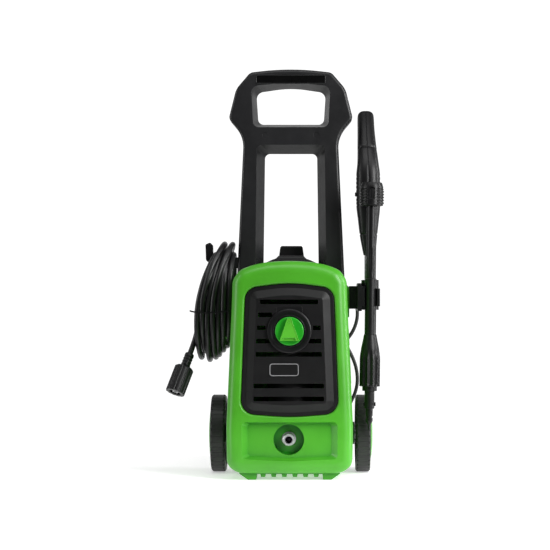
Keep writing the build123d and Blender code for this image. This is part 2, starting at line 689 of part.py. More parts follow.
def water_inlet():
    """The threaded inlet for a garden tap adaptor, with the pipe to the pump."""
    stub = pipe((0, 40, INLET_Z), (0, 78, INLET_Z), 9, 6)
    stub += pipe((0, 76, INLET_Z), (0, INLET_THREAD_Y, INLET_Z), INLET_R - 0.8, 9)
    stub += pipe((0, INLET_THREAD_Y, INLET_Z), (0, INLET_END_Y, INLET_Z), INLET_R, 9)
    return stub - rod((0, 70, INLET_Z), (0, 77, INLET_Z), 6)


def pressure_switch():
    """The box on the pump head that stops the motor when the trigger is released."""
    return fillet(box(40, 66, -58, -18, 70, 110).edges().filter_by(Axis.Y), 3) + rod(
        (38, -38, 90), (41, -38, 90), 5)


def pump_mounts():
    """Rubber blocks between the pump head and the casing's floor."""
    floor = CASING_BOTTOM + WALL
    return group([rod((x, y, floor), (x, y, 56), 8) for x in (-28, 28) for y in (-50, -4)])


# ---------------------------------------------------------------- hose and cord

def hose_loop(inset, low, high):
    """An oval loop of the hose seen from the side (y, z), inset from its outer edge."""
    half = HOSE_HALF_DEPTH - inset
    points = [(HOSE_Y - half, low), (HOSE_Y + half, low), (HOSE_Y + half, high), (HOSE_Y - half, high)]
    return outline(points, [half - 2] * 4)


def hose_coil():
    """The hung loops: three layers on the hook, fanned out side by side below it."""
    ring = side_plate(hose_loop(0, HOSE_LOW_Z, HOSE_HIGH_Z), -200, -100)
    ring -= side_plate(hose_loop(HOSE_D, HOSE_LOW_Z + HOSE_D, HOSE_HIGH_Z - 2.85 * HOSE_D), -201, -99)
    fan = make_face(Polyline((-194, 240), (-190, 313), (-179, 365), (-150.6, 417), (-148, 452), (-105.5, 452),
                             (-105.5, 410), (-116.5, 375), (-117, 300), (-120, 212), (-188, 212), close=True))
    return ring & front_plate(fan, -60, 140)


def route_radii(points):
    """Each corner's radius: 0.45 of its shorter run over the tangent of half its turn."""
    corners = [Vector(*p) for p in points]
    radii = []
    for before, here, after in zip(corners, corners[1:], corners[2:]):
        run_in, run_out = here - before, after - here
        half_turn = math.radians(run_in.get_angle(run_out) / 2)
        radii.append(0.45 * min(run_in.length, run_out.length) / math.tan(half_turn))
    return radii


def cord_tube(name, points, diameter):
    radii = route_radii(points)
    path = FilletPolyline(*points, radius=radii)
    print(name, "length", round(path.length, 1), "radii", [round(r) for r in radii])
    return sweep(Plane(origin=path @ 0, z_dir=path % 0) * Circle(diameter / 2), path=path)


def beyond(points, distance):
    """A point past the end of a route, along its last run."""
    end = Vector(*points[-1])
    run = (end - Vector(*points[-2])).normalized()
    return tuple(end + run * distance)


def hose_tail():
    return cord_tube("hose_tail", HOSE_END, HOSE_D)


def hose_sleeve():
    """The crimped sleeve on the hose's end, with the steel tip that seals in the outlet."""
    sleeve = rod(beyond(HOSE_END, -2), beyond(HOSE_END, 24), 9)
    sleeve -= rod(beyond(HOSE_END, -3), HOSE_END[-1], HOSE_D / 2)
    return sleeve + rod(beyond(HOSE_END, 20), beyond(HOSE_END, 70), 5)


def hose_nut():
    """The hand nut: a fluted cup that turns on the sleeve's tip."""
    near, step, far = beyond(HOSE_END, 24.5), beyond(HOSE_END, 34), beyond(HOSE_END, 78)
    axis = Vector(*far) - Vector(*near)
    cup = rod(near, far, 18.5)
    cup = chamfer(edges_near(cup, near), 3)
    flute_plane = Plane(origin=near, z_dir=axis)
    flutes = [flute_plane * Rot(0, 0, 30 * i) * Pos(19.6, 0, 30) * Cylinder(2.4, 64) for i in range(12)]
    for flute in flutes:
        cup -= flute
    cup -= rod(step, beyond(HOSE_END, 79), 11.2)
    return cup - rod(near, far, 5 + RUNNING_GAP)


def edges_near(solid, centre):
    rounds = solid.edges().filter_by(GeomType.CIRCLE)
    return [e for e in rounds if (e.arc_center - Vector(*centre)).length < 0.01]


def hose_gun_end():
    """The fitting on the hose's other end, tucked inside the loops."""
    body = rod((-126, -4, 296), (-126, 2, 262), 7.5)
    return body + rod((-126, -7, 312), (-126, -4, 296), 5)


def hose_tie():
    """The thin tie round the front strands."""
    outer = box(-192.4, -114.8, -29.5, -15.6, 312.6, 315)
    return outer - box(-191.2, -116.2, -28.3, -16.8, 312, 316)


def cord_gland():
    """The moulded cord entry on the back, with a tapered strain relief that points up."""
    block = fillet(box(-62, -38, CASING_BACK, 118, 128, 150).edges().filter_by(Axis.Y), 4)
    cone = revolve(make_face(Polyline((CORD_D / 2, 150), (8, 150), (5.2, 176), (CORD_D / 2, 176), close=True))
                   .rotate(Axis.X, 90), Axis.Z)
    return block + Pos(-50, 107, 0) * cone + rod((-50, 88, 139), (-50, CASING_BACK, 139), 6.8)


def cord_lead():
    lead = cord_tube("cord_lead", CORD_LEAD, CORD_D)
    return lead + rod((-50, 107, 150), CORD_LEAD[0], CORD_D / 2)


def cord_coil():
    centre_y = CORD_COIL_Y
    half = CORD_BUNDLE / 2
    return pipe((0, centre_y - half, CORD_COIL_Z), (0, centre_y + half, CORD_COIL_Z),
                CORD_COIL_R, CORD_COIL_R - CORD_BUNDLE)


def power_plug():
    """A moulded plug that hangs on the tail: neck, round body and two pins."""
    start, neck, end = CORD_TAIL[-1], beyond(CORD_TAIL, 22), beyond(CORD_TAIL, 58)
    body = rod(start, neck, 6.5) + rod(neck, end, 17)
    side = Vector(0, 9.5, 0)
    for sign in (-1, 1):
        root = Vector(*beyond(CORD_TAIL, 50)) + side * sign
        tip = Vector(*beyond(CORD_TAIL, 77)) + side * sign
        body += rod(tuple(root), tuple(tip), 2.4)
    return body


# ---------------------------------------------------------------- lance

def lance_tube():
    low, mid, high = LANCE_FOOT_Z + 182, 375, 513
    profile = [(0, low - 30), (10, low - 30), (10, low), (11, low), (11, mid), (9.5, mid + 1), (9.5, high),
               (7, high), (7, high + 30), (0, high + 30)]
    tube = turned(profile, LANCE_FOOT_X, LANCE_Y)
    tube -= Pos(LANCE_FOOT_X, LANCE_Y - 9.5, 411) * Box(4.6, 3, 46)
    return leaned(tube)


def lance_grip():
    """The fluted twist grip at the lance's foot end."""
    profile = [(10.05, 162), (14, 162), (14, 171), (20, 171), (20, 222), (17.5, 240), (12.5, 270), (10.05, 270)]
    grip = turned(profile, LANCE_FOOT_X, LANCE_Y)
    for index in range(10):
        flute = Pos(20.6, 0, 205) * Box(5, 5.4, 58)
        grip -= Pos(LANCE_FOOT_X, LANCE_Y, 0) * Rot(0, 0, 36 * index + 9) * flute
    grip -= rod((LANCE_FOOT_X, LANCE_Y, 239.9), (LANCE_FOOT_X, LANCE_Y, 270.1), 10.1)
    return leaned(grip)


def bayonet_plug():
    profile = [(0, LANCE_FOOT_Z), (2.2, LANCE_FOOT_Z), (2.2, 96), (6.7, 105), (6.7, 110), (5.6, 111), (5.6, 114),
               (6.7, 115), (6.7, 128), (9.5, 129), (9.5, 240), (0, 240)]
    plug = turned(profile, LANCE_FOOT_X, LANCE_Y)
    for side in (-1, 1):
        plug += Pos(LANCE_FOOT_X + 9.8 * side, LANCE_Y, 137) * Box(4, 5, 7)
    return leaned(plug)


def nozzle_core():
    """The nozzle insert on the lance's tip, inside the adjusting collar."""
    return leaned(turned([(7.05, 516), (12, 516), (12, 543.5), (9, 552), (7.05, 552)], LANCE_FOOT_X, LANCE_Y)
                  - rod((LANCE_FOOT_X, LANCE_Y, 543), (LANCE_FOOT_X, LANCE_Y, 553), 7.1))


def nozzle_collar():
    """The ribbed ring that adjusts the spray."""
    profile = [(9.8, 514), (22.8, 514), (22.8, 550), (18.5, 558.5), (12.8, 558.5), (12.8, 515.6), (9.8, 515.6)]
    collar = turned(profile, LANCE_FOOT_X, LANCE_Y)
    for index in range(6):
        ring = pipe((LANCE_FOOT_X, LANCE_Y, 519.5 + 5 * index), (LANCE_FOOT_X, LANCE_Y, 521 + 5 * index), 24, 22)
        front_gap = box(LANCE_FOOT_X - 9, LANCE_FOOT_X + 9, LANCE_Y - 30, LANCE_Y, 500, 560)
        collar -= ring - front_gap
    collar -= Pos(LANCE_FOOT_X, LANCE_Y - 23, 541) * Box(5.5, 6, 22)
    return leaned(collar)


# ---------------------------------------------------------------- gun

GRIP_TOP_Z = 708.0


def gun_side():
    """The gun from the side (y, z), barrel down, grip leaning back."""
    points = [(30, GUN_NOSE_Z), (54, GUN_NOSE_Z), (58, 470), (88, 480), (112, 520), (118, 600), (117, 650),
              (125, 690), (104, GRIP_TOP_Z + 2), (82, GRIP_TOP_Z), (36, 622), (18, 580), (18, 515), (26, 465)]
    return outline(points, [2, 2, 6, 18, 24, 30, 12, 12, 12, 14, 40, 20, 20, 10])


def finger_gap():
    points = [(66, 488), (84, 490), (104, 522), (110, 600), (108, 640), (100, 646), (64, 575), (62, 560)]
    return outline(points, [4, 10, 20, 20, 5, 5, 20, 4])


def gun_front():
    """The gun from the front (x, z): grip, broad middle, taper and nose."""
    points = [(143, GUN_NOSE_Z), (164, GUN_NOSE_Z), (168.5, 463), (173, 517), (173, 577), (167, 630),
              (164, GRIP_TOP_Z + 2), (130.5, GRIP_TOP_Z + 2), (130.5, 630), (128, 577), (128, 517), (137.5, 463)]
    return outline(points, [2, 2, 10, 10, 10, 60, 12, 12, 60, 10, 10, 10])


def gun_shell(side):
    """One moulded half of the gun, split at its middle plane."""
    middle = 151.0
    whole = side_plate(gun_side(), 120, 180) & front_plate(gun_front(), 0, 140)
    whole -= side_plate(finger_gap(), 119, 181)
    whole -= rod((middle + 1, GUN_Y, 400), (middle + 1, GUN_Y, 500), BARREL_R + 0.6)
    whole -= box(middle - 7.5, middle + 7.5, 48, 71, 476, 600)
    x, y, z = TRIGGER_PIVOT
    whole -= rod((x - 12, y, z), (x + 12, y, z), 2.5)
    whole -= rod((100, LOCK_Y, LOCK_Z), (200, LOCK_Y, LOCK_Z), LOCK_R + RUNNING_GAP)
    keep = box(middle, 200, 0, 200, 400, 800) if side > 0 else box(100, middle, 0, 200, 400, 800)
    return whole & keep


def gun_barrel():
    low = rod((154, GUN_Y, 312), (154, GUN_Y, 374.5), BARREL_R)
    low += rod((154, GUN_Y, 375), (154, GUN_Y, GUN_NOSE_Z - 0.5), 11)
    return low + rod((152, GUN_Y, GUN_NOSE_Z - 1), (152, GUN_Y, 498), BARREL_R) + rod(
        (154, GUN_Y, 374), (154, GUN_Y, 376), BARREL_R)


def trigger():
    """The lever in the finger gap, on a pin across the shells."""
    x, y, z = TRIGGER_PIVOT
    lever = outline([(y - 6, z - 5), (y + 6, z - 5), (y + 20, z + 45), (y + 31, z + 95), (y + 24, z + 97),
                     (y + 10, z + 55), (y - 4, z + 25)], [3, 3, 20, 3, 3, 20, 4])
    bar = side_plate(lever, x - 7, x + 7)
    return bar + rod((x - 11, y, z), (x + 11, y, z), 2.5 - RUNNING_GAP)


def trigger_lock():
    """The cross bolt that is pushed sideways to lock the trigger."""
    bolt = rod((124.5, LOCK_Y, LOCK_Z), (172.5, LOCK_Y, LOCK_Z), LOCK_R)
    return chamfer(bolt.edges().filter_by(GeomType.CIRCLE), 0.8)


# ---------------------------------------------------------------- write every piece

def main():
    os.makedirs("parts", exist_ok=True)
    right_wheel = wheel()
    right_cap = hub_cap()
    pieces = {
        "front_casing": front_casing(),
        "rear_casing": rear_casing(),
        "front_panel": front_panel(),
        "panel_badge": panel_badge(),
        "knob_collar": knob_collar(),
        "power_knob": power_knob(),
        "knob_pointer": knob_pointer(),
        "switch_box": switch_box(),
        "casing_screws": casing_screws(),
        "handle_front": handle_front(),
        "handle_rear": handle_rear(),
        "handle_screws": handle_screws(),
        "hose_hook": hose_hook(),
        "cord_hook": cord_hook(),
        "lance_holder": lance_holder(),
        "axle": axle(),
        "left_wheel": mirror(right_wheel, about=Plane.YZ),
        "right_wheel": right_wheel,
        "left_hub_cap": mirror(right_cap, about=Plane.YZ),
        "right_hub_cap": right_cap,
        "wheel_washers": wheel_washers(),
        "motor_housing": motor_housing(),
        "motor_stator": motor_stator(),
        "rotor": rotor(),
        "commutator": commutator(),
        "carbon_brushes": carbon_brushes(),
        "cooling_fan": cooling_fan(),
        "pinion": pinion(),
        "drive_gear": drive_gear(),
        "swash_plate": swash_plate(),
        "pistons": pistons(),
        "piston_springs": piston_springs(),
        "gear_case": gear_case(),
        "pump_head": pump_head(),
        "pump_mounts": pump_mounts(),
        "outlet_connector": outlet_connector(),
        "water_inlet": water_inlet(),
        "pressure_switch": pressure_switch(),
        "hose_coil": hose_coil(),
        "hose_tail": hose_tail(),
        "hose_sleeve": hose_sleeve(),
        "hose_nut": hose_nut(),
        "hose_gun_end": hose_gun_end(),
        "hose_tie": hose_tie(),
        "cord_gland": cord_gland(),
        "cord_lead": cord_lead(),
        "cord_coil": cord_coil(),
        "cord_loose_turn": cord_tube("cord_loose_turn", CORD_LOOSE_TURN, CORD_D),
        "cord_tail": cord_tube("cord_tail", CORD_TAIL, CORD_D),
        "power_plug": power_plug(),
        "lance_tube": lance_tube(),
        "lance_grip": lance_grip(),
        "bayonet_plug": bayonet_plug(),
        "nozzle_core": nozzle_core(),
        "nozzle_collar": nozzle_collar(),
        "gun_left_shell": gun_shell(-1),
        "gun_right_shell": gun_shell(1),
        "gun_barrel": gun_barrel(),
        "trigger": trigger(),
        "trigger_lock": trigger_lock(),
    }
    for name, shape in pieces.items():
        save(name, shape)


main()
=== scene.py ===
import json
import math

import bmesh
import bpy
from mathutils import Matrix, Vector


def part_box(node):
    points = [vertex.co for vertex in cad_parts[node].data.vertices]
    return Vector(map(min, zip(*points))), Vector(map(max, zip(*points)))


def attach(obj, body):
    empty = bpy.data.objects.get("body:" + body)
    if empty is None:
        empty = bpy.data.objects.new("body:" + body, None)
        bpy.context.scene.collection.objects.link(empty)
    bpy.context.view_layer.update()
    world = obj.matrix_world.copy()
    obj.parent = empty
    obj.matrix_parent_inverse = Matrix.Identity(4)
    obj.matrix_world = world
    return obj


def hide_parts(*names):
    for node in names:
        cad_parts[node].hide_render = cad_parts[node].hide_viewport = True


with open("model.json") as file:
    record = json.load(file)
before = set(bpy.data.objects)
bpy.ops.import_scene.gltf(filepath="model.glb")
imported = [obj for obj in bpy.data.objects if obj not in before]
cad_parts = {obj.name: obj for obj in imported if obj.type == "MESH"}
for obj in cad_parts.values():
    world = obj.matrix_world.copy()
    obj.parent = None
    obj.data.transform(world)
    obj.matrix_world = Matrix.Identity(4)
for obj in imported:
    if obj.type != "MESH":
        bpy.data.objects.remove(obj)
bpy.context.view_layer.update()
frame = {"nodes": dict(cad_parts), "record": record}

# An upright pressure washer in a plain white studio. Places are measured in millimetres from the
# casing's centre plane, its front-to-rear seam and the floor, and here() turns them into metres.

casing_low, casing_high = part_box("front_casing")
SEAM = Vector(((casing_low.x + casing_high.x) / 2, casing_high.y, 0.0))


def here(x, y, z):
    return SEAM + Vector((x, y, z)) / 1000


# ---------------------------------------------------------------- camera

SENSOR = 36.0
FOCAL_LENGTH = 106.1
CAMERA_PLACE = (51.0, -3110.0, 335.0)
CAMERA_SHIFT = (-0.0764, 0.0455)


def make_camera():
    data = bpy.data.cameras.new("camera")
    data.sensor_width = SENSOR
    data.lens = FOCAL_LENGTH
    data.shift_x, data.shift_y = CAMERA_SHIFT
    camera = bpy.data.objects.new("camera", data)
    camera.location = here(*CAMERA_PLACE)
    camera.rotation_euler = (math.radians(90), 0, 0)
    bpy.context.scene.collection.objects.link(camera)
    bpy.context.scene.camera = camera


make_camera()

# ---------------------------------------------------------------- cords

# A quadratic spline through a ring of POINTS_PER_TURN points lies this much inside them.
POINTS_PER_TURN = 16
OUTWARD = 1 / (0.75 + 0.25 * math.cos(2 * math.pi / POINTS_PER_TURN))

# A spline's bounding box is grown by this, its points' radius, which the bevel is multiplied by.
POINT_RADIUS = 0.002

HOSE_D = 10.6
HOSE_Y = 48.0
HOSE_EXIT = (-126.0, 2.0, 262.0)
HOSE_START = [HOSE_EXIT, (-126.0, 7.0, 250.0)]
# From the top of the last loop, forward and down the front of the coil to where the free end begins.
HOSE_OVER_HOOK = [(-133.5, 44.0, 427.5), (-137.0, 20.0, 423.0), (-143.0, -2.0, 408.0),
                  (-150.5, -16.0, 387.0), (-158.0, -22.0, 367.0), (-164.0, -23.0, 353.0)]
HOSE_END = [(-168.0, -19.0, 340.0), (-171.0, -7.0, 322.0), (-174.5, 3.0, 303.0),
            (-177.5, 6.5, 283.0), (-182.0, 5.0, 263.5), (-187.5, 0.0, 245.5), (-193.8, -7.0, 228.0)]

CORD_D = 7.0
CORD_EXIT = (-50.0, 107.0, 150.0)
CORD_COIL_CENTRE = (0.0, 111.5, 318.0)
CORD_COIL_R = 93.5
CORD_LEAD = [(-50.0, 107.0, 176.0), (-47.5, 108.0, 206.0), (-50.0, 110.0, 235.0),
             (-59.0, 111.5, 262.0)]
CORD_LOOSE_TURN = [(50.0, 112.0, 399.0), (80.0, 114.0, 386.0), (106.0, 116.0, 366.0),
                   (126.0, 117.0, 340.0), (133.0, 117.0, 310.0), (127.0, 117.0, 280.0),
                   (110.0, 115.0, 254.0), (84.0, 113.0, 238.0), (54.0, 112.0, 232.0)]
CORD_TAIL = [(94.0, 116.0, 322.0), (96.0, 118.0, 300.0), (98.5, 120.5, 278.0), (104.0, 124.0, 257.0),
             (113.0, 127.0, 238.0), (123.0, 130.0, 219.0), (130.5, 133.0, 196.0),
             (132.5, 136.0, 169.0), (125.5, 137.0, 142.0), (111.0, 134.0, 117.0)]


def cord_curve(name, route, diameter):
    """One smooth spline along the route, as thick as the cord."""
    data = bpy.data.curves.new(name, "CURVE")
    data.dimensions = "3D"
    data.bevel_depth = diameter / 2000 / POINT_RADIUS
    data.bevel_resolution = 5
    data.resolution_u = 6
    data.use_fill_caps = True
    spline = data.splines.new("NURBS")
    spline.points.add(len(route) - 1)
    for point, place in zip(spline.points, route):
        point.co = (*here(*place), 1.0)
        point.radius = POINT_RADIUS
    spline.order_u = 3
    spline.use_endpoint_u = True
    curve = bpy.data.objects.new(name, data)
    bpy.context.scene.collection.objects.link(curve)
    return curve


# Where each loop of the hose lies: (x, z) at its top, on the hook, and at its bottom.
HOSE_TOPS = [(-111.0, 423.5), (-121.8, 423.5), (-116.5, 433.0), (-111.5, 443.0), (-127.3, 433.0),
             (-126.5, 443.8), (-143.4, 423.5), (-132.6, 423.5)]
HOSE_BOTTOMS = [(-128.0, 250.0), (-124.0, 246.0), (-131.0, 238.0), (-139.0, 229.0),
                (-145.5, 224.0), (-157.0, 219.5), (-166.0, 236.0), (-173.0, 224.0)]
HOSE_FRONT_X, HOSE_FRONT_STEP = -117.5, -10.25
HOSE_BACK_X, HOSE_BACK_STEP = -116.5, -9.4
HOSE_HALF_DEPTH = 70.5
HOSE_FRONT_LAY, HOSE_BACK_LAY = 1.2, 2.5
# The loops fan out from this much above their tops, over this height, and gather below this one.
HOSE_FAN_START, HOSE_FAN_HEIGHT = 4, 130
HOSE_GATHER_Z = 290
# The first loop begins on its way up, at this point of its ring.
HOSE_FIRST_POINT = 7


def rounded(value, power=0.85):
    """A sine or cosine squared off, so that a ring of them is between an oval and a box."""
    return math.copysign(abs(value) ** power, value)


def hose_point(turn, angle):
    """A point of the hung hose. The angle goes from the top by the front (90) to the bottom (180)."""
    going_down = angle < 180
    top = HOSE_TOPS[turn - 1 if going_down else turn]
    bottom = HOSE_BOTTOMS[turn]
    if going_down:
        side_x = HOSE_FRONT_X + HOSE_FRONT_STEP * (turn - 1)
    else:
        side_x = HOSE_BACK_X + HOSE_BACK_STEP * turn
    lay = (-1) ** turn * (HOSE_FRONT_LAY if going_down else HOSE_BACK_LAY)
    across = rounded(math.sin(math.radians(angle))) * OUTWARD
    up = rounded(math.cos(math.radians(angle))) * OUTWARD
    middle, half = (top[1] + bottom[1]) / 2, (top[1] - bottom[1]) / 2
    z = middle + half * up
    fan_share = min(1, max(0, (top[1] + HOSE_FAN_START - z) / HOSE_FAN_HEIGHT))
    fan = math.sin(math.radians(90 * fan_share))
    gather = min(1, max(0, (HOSE_GATHER_Z - z) / (HOSE_GATHER_Z - bottom[1]))) ** 2
    x = top[0] + (side_x - top[0]) * fan + (bottom[0] - side_x) * gather
    return (x, HOSE_Y - (HOSE_HALF_DEPTH + lay) * across, z)


def hose_route():
    """Down from the gun's fitting, round eight loops over the hook, and out to the hand nut."""
    loops = []
    step = 360 / POINTS_PER_TURN
    for turn in range(len(HOSE_BOTTOMS)):
        first = HOSE_FIRST_POINT if turn == 0 else 0
        for index in range(first, POINTS_PER_TURN):
            loops.append(hose_point(turn, step * index))
    return HOSE_START + loops + HOSE_OVER_HOOK + HOSE_END


def make_hose():
    hose = cord_curve("pressure_hose", hose_route(), HOSE_D)
    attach(hose, "machine")
    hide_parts("hose_coil", "hose_tail")
    return hose


# Each turn of the power cord's coil has its own place in the bundle: (further out, further back).
CORD_LAYS = [(-6.5, -6.5), (0.5, -7.0), (7.0, -6.0), (6.5, 1.0), (-0.5, 0.0), (-7.0, 0.5),
             (-6.0, 7.5), (1.0, 7.0), (5.5, 8.0)]
# It moves over to the next place from this share of the turn, over this much of a turn.
LAY_CHANGE_START, LAY_CHANGE_SHARE = 0.7, 0.3
# How fast the coil's radius wavers, in radians to a turn, by up to a millimetre.
CORD_WAVER = 2.3
# Where the cord enters and leaves the coil before and after its loose turn, in degrees.
COIL_IN, COIL_TO_LOOSE, COIL_FROM_LOOSE, COIL_OUT = -143, 62, -62, 8
COIL_WHOLE_TURNS = 3


def coil_point(turns, angle):
    """A point of the cord's coil after so many turns, at an angle up from the right."""
    turn = min(int(turns), len(CORD_LAYS) - 2)
    share = min(1, max(0, (turns - turn - LAY_CHANGE_START) / LAY_CHANGE_SHARE))
    share = share * share * (3 - 2 * share)
    out = CORD_LAYS[turn][0] * (1 - share) + CORD_LAYS[turn + 1][0] * share
    back = CORD_LAYS[turn][1] * (1 - share) + CORD_LAYS[turn + 1][1] * share
    radius = (CORD_COIL_R + out + math.sin(turns * CORD_WAVER)) * OUTWARD
    x, y, z = CORD_COIL_CENTRE
    return (x + radius * math.cos(angle), y + back, z + radius * math.sin(angle))


def coil_turns(start_angle, end_angle, whole_turns, done):
    """Points clockwise from one angle (in degrees) to the other, after that many whole turns."""
    sweep = (start_angle - end_angle) % 360 + 360 * whole_turns
    count = round(sweep / 360 * POINTS_PER_TURN)
    points = []
    for index in range(1, count):
        share = index / count
        angle = math.radians(start_angle - sweep * share)
        points.append(coil_point(done + sweep * share / 360, angle))
    return points, done + sweep / 360


def cord_route():
    """Up from its entry, round the hook, with one loose turn, and down the right side to the plug."""
    route = [CORD_EXIT] + CORD_LEAD
    points, done = coil_turns(COIL_IN, COIL_TO_LOOSE, COIL_WHOLE_TURNS, 0)
    route += points + CORD_LOOSE_TURN
    points, done = coil_turns(COIL_FROM_LOOSE, COIL_OUT, COIL_WHOLE_TURNS, done)
    return route + points + CORD_TAIL


def make_cord():
    cord = cord_curve("power_cord", cord_route(), CORD_D)
    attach(cord, "machine")
    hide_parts("cord_lead", "cord_coil", "cord_loose_turn", "cord_tail")
    return cord


hose = make_hose()
power_cord = make_cord()

# ---------------------------------------------------------------- materials

# Noise keeps mostly between these values.
NOISE_LOW, NOISE_HIGH = 0.3, 0.7
# Painted shade in recesses: how far a recess is felt, in metres, and the open shares that count as shut
# (fully shaded) and as open (unshaded).
PAINTED_SHADE_REACH = 0.032
PAINTED_SHADE_SHUT, PAINTED_SHADE_OPEN = 0.42, 0.94
MOULDED_EDGE = 0.0007


class Nodes:
    """A material's node tree, with the links and sockets in short form."""

    def __init__(self, name="", material=None):
        self.material = material or bpy.data.materials.new(name)
        self.material.use_nodes = True
        self.tree = self.material.node_tree
        self.shader = self.tree.nodes["Principled BSDF"]

    def add(self, kind, **settings):
        node = self.tree.nodes.new("ShaderNode" + kind)
        for key, value in settings.items():
            setattr(node, key, value)
        return node

    def link(self, start, end):
        self.tree.links.new(start, end)

    def place(self, stretch=(1, 1, 1)):
        """Positions on the object in metres, stretched along the axes."""
        coordinates = self.add("TexCoord")
        mapping = self.add("Mapping")
        mapping.inputs["Scale"].default_value = stretch
        self.link(coordinates.outputs["Object"], mapping.inputs["Vector"])
        return mapping.outputs["Vector"]

    def noise(self, place, scale, detail=3.0, roughness=0.55):
        node = self.add("TexNoise")
        node.inputs["Scale"].default_value = scale
        node.inputs["Detail"].default_value = detail
        node.inputs["Roughness"].default_value = roughness
        self.link(place, node.inputs["Vector"])
        return node.outputs["Fac"]

    def ramp(self, factor, stops):
        node = self.add("ValToRGB")
        while len(node.color_ramp.elements) < len(stops):
            node.color_ramp.elements.new(0.5)
        for element, (position, colour) in zip(node.color_ramp.elements, stops):
            element.position = position
            element.color = (*colour, 1)
        self.link(factor, node.inputs["Fac"])
        return node.outputs["Color"]

    def spread(self, factor, low, high):
        node = self.add("MapRange")
        node.inputs["From Min"].default_value = NOISE_LOW
        node.inputs["From Max"].default_value = NOISE_HIGH
        node.inputs["To Min"].default_value = low
        node.inputs["To Max"].default_value = high
        self.link(factor, node.inputs["Value"])
        return node.outputs["Result"]

    def bump(self, height, strength, distance, normal=None):
        node = self.add("Bump")
        node.inputs["Strength"].default_value = strength
        node.inputs["Distance"].default_value = distance
        self.link(height, node.inputs["Height"])
        if normal:
            self.link(normal, node.inputs["Normal"])
        return node.outputs["Normal"]

    def with_painted_recess_shade(self, shade, painted_shade_colour):
        """The colour with painted shade: darker in corners and recesses, by the object's own ambient
        occlusion.
        """
        open_share = self.add("AmbientOcclusion", samples=8, only_local=True)
        open_share.inputs["Distance"].default_value = PAINTED_SHADE_REACH
        spread = self.add("MapRange")
        spread.inputs["From Min"].default_value = PAINTED_SHADE_SHUT
        spread.inputs["From Max"].default_value = PAINTED_SHADE_OPEN
        self.link(open_share.outputs["AO"], spread.inputs["Value"])
        mix = self.add("Mix", data_type="RGBA")
        mix.inputs["A"].default_value = (*painted_shade_colour, 1)
        self.link(spread.outputs["Result"], mix.inputs["Factor"])
        self.link(shade, mix.inputs["B"])
        return mix.outputs["Result"]


def shades(colour, share):
    """The colour a little darker, itself, and a little lighter."""
    darker = tuple(c * (1 - share) for c in colour)
    lighter = tuple(min(1, c * (1 + share)) for c in colour)
    return [darker, colour, lighter]


def moulded(name, colour, rough, grain=1800.0, grain_depth=0.00005, share=0.12, specular=0.5,
            painted_shade_colour=None):
    """Moulded plastic: slow cloudy colour, patchy gloss, fine spark-eroded grain and soft edges, and
    painted shade in its corners and recesses when a shade colour is given.
    """
    n = Nodes(name)
    place = n.place()
    cloud = n.noise(place, 9.0, 4.0)
    low, middle, high = shades(colour, share)
    shade = n.ramp(cloud, [(NOISE_LOW, low), (0.5, middle), (NOISE_HIGH, high)])
    # Painted shade: corners and recesses darken towards the given colour.
    if painted_shade_colour:
        shade = n.with_painted_recess_shade(shade, painted_shade_colour)
    n.link(shade, n.shader.inputs["Base Color"])
    handled = n.noise(place, 35.0, 5.0, 0.65)
    n.link(n.spread(handled, rough - 0.045, rough + 0.045), n.shader.inputs["Roughness"])
    edge = n.add("Bevel", samples=3)
    edge.inputs["Radius"].default_value = MOULDED_EDGE
    fine = n.noise(place, grain, 2.0)
    n.link(n.bump(fine, 0.35, grain_depth, edge.outputs["Normal"]), n.shader.inputs["Normal"])
    n.shader.inputs["Specular IOR Level"].default_value = specular
    return n.material


AXLE = (0, 62, 75)
TREAD_GROOVES = 44
# Shares of the pitch from a groove's middle where its floor ends and its wall is over.
GROOVE_FLOOR, GROOVE_WALL = 0.05, 0.12
GROOVE_BUMP = 0.0012


def tyre(name, colour, rough):
    """The wheel's plastic, with narrow grooves across its tread."""
    material = moulded(name, colour, rough, 1200.0, 0.00009, 0.25)
    n = Nodes(material=material)
    split = n.add("SeparateXYZ")
    n.link(n.add("TexCoord").outputs["Object"], split.inputs["Vector"])
    axle = here(*AXLE)
    offsets = []
    for output, middle in (("Y", axle.y), ("Z", axle.z)):
        offset = n.add("Math", operation="SUBTRACT")
        n.link(split.outputs[output], offset.inputs[0])
        offset.inputs[1].default_value = middle
        offsets.append(offset.outputs[0])
    angle = n.add("Math", operation="ARCTAN2")
    n.link(offsets[1], angle.inputs[0])
    n.link(offsets[0], angle.inputs[1])
    turns = n.add("Math", operation="MULTIPLY")
    n.link(angle.outputs[0], turns.inputs[0])
    turns.inputs[1].default_value = TREAD_GROOVES / (2 * math.pi)
    share = n.add("Math", operation="FRACT")
    n.link(turns.outputs[0], share.inputs[0])
    wave = n.add("Math", operation="PINGPONG")
    n.link(share.outputs[0], wave.inputs[0])
    wave.inputs[1].default_value = 0.5
    groove = n.add("MapRange", interpolation_type="SMOOTHSTEP")
    groove.inputs["From Min"].default_value = GROOVE_FLOOR
    groove.inputs["From Max"].default_value = GROOVE_WALL
    n.link(wave.outputs[0], groove.inputs["Value"])
    grain = n.shader.inputs["Normal"].links[0].from_socket
    n.link(n.bump(groove.outputs["Result"], 0.8, GROOVE_BUMP, grain), n.shader.inputs["Normal"])
    return material


def rubber(name, colour, rough, along=1.0):
    """Extruded rubber with a dull bloom and faint scuffs."""
    n = Nodes(name)
    place = n.place()
    bloom = n.noise(place, 22.0, 5.0, 0.6)
    low, middle, high = shades(colour, 0.3)
    shade = n.ramp(bloom, [(0.32, low), (0.55, middle), (0.75, high)])
    n.link(shade, n.shader.inputs["Base Color"])
    scuff = n.noise(n.place((along, along, 0.4)), 160.0, 3.0)
    n.link(n.spread(scuff, rough - 0.06, rough + 0.08), n.shader.inputs["Roughness"])
    fine = n.noise(place, 900.0, 2.0)
    n.link(n.bump(fine, 0.3, 0.00006), n.shader.inputs["Normal"])
    n.shader.inputs["Specular IOR Level"].default_value = 0.5
    return n.material


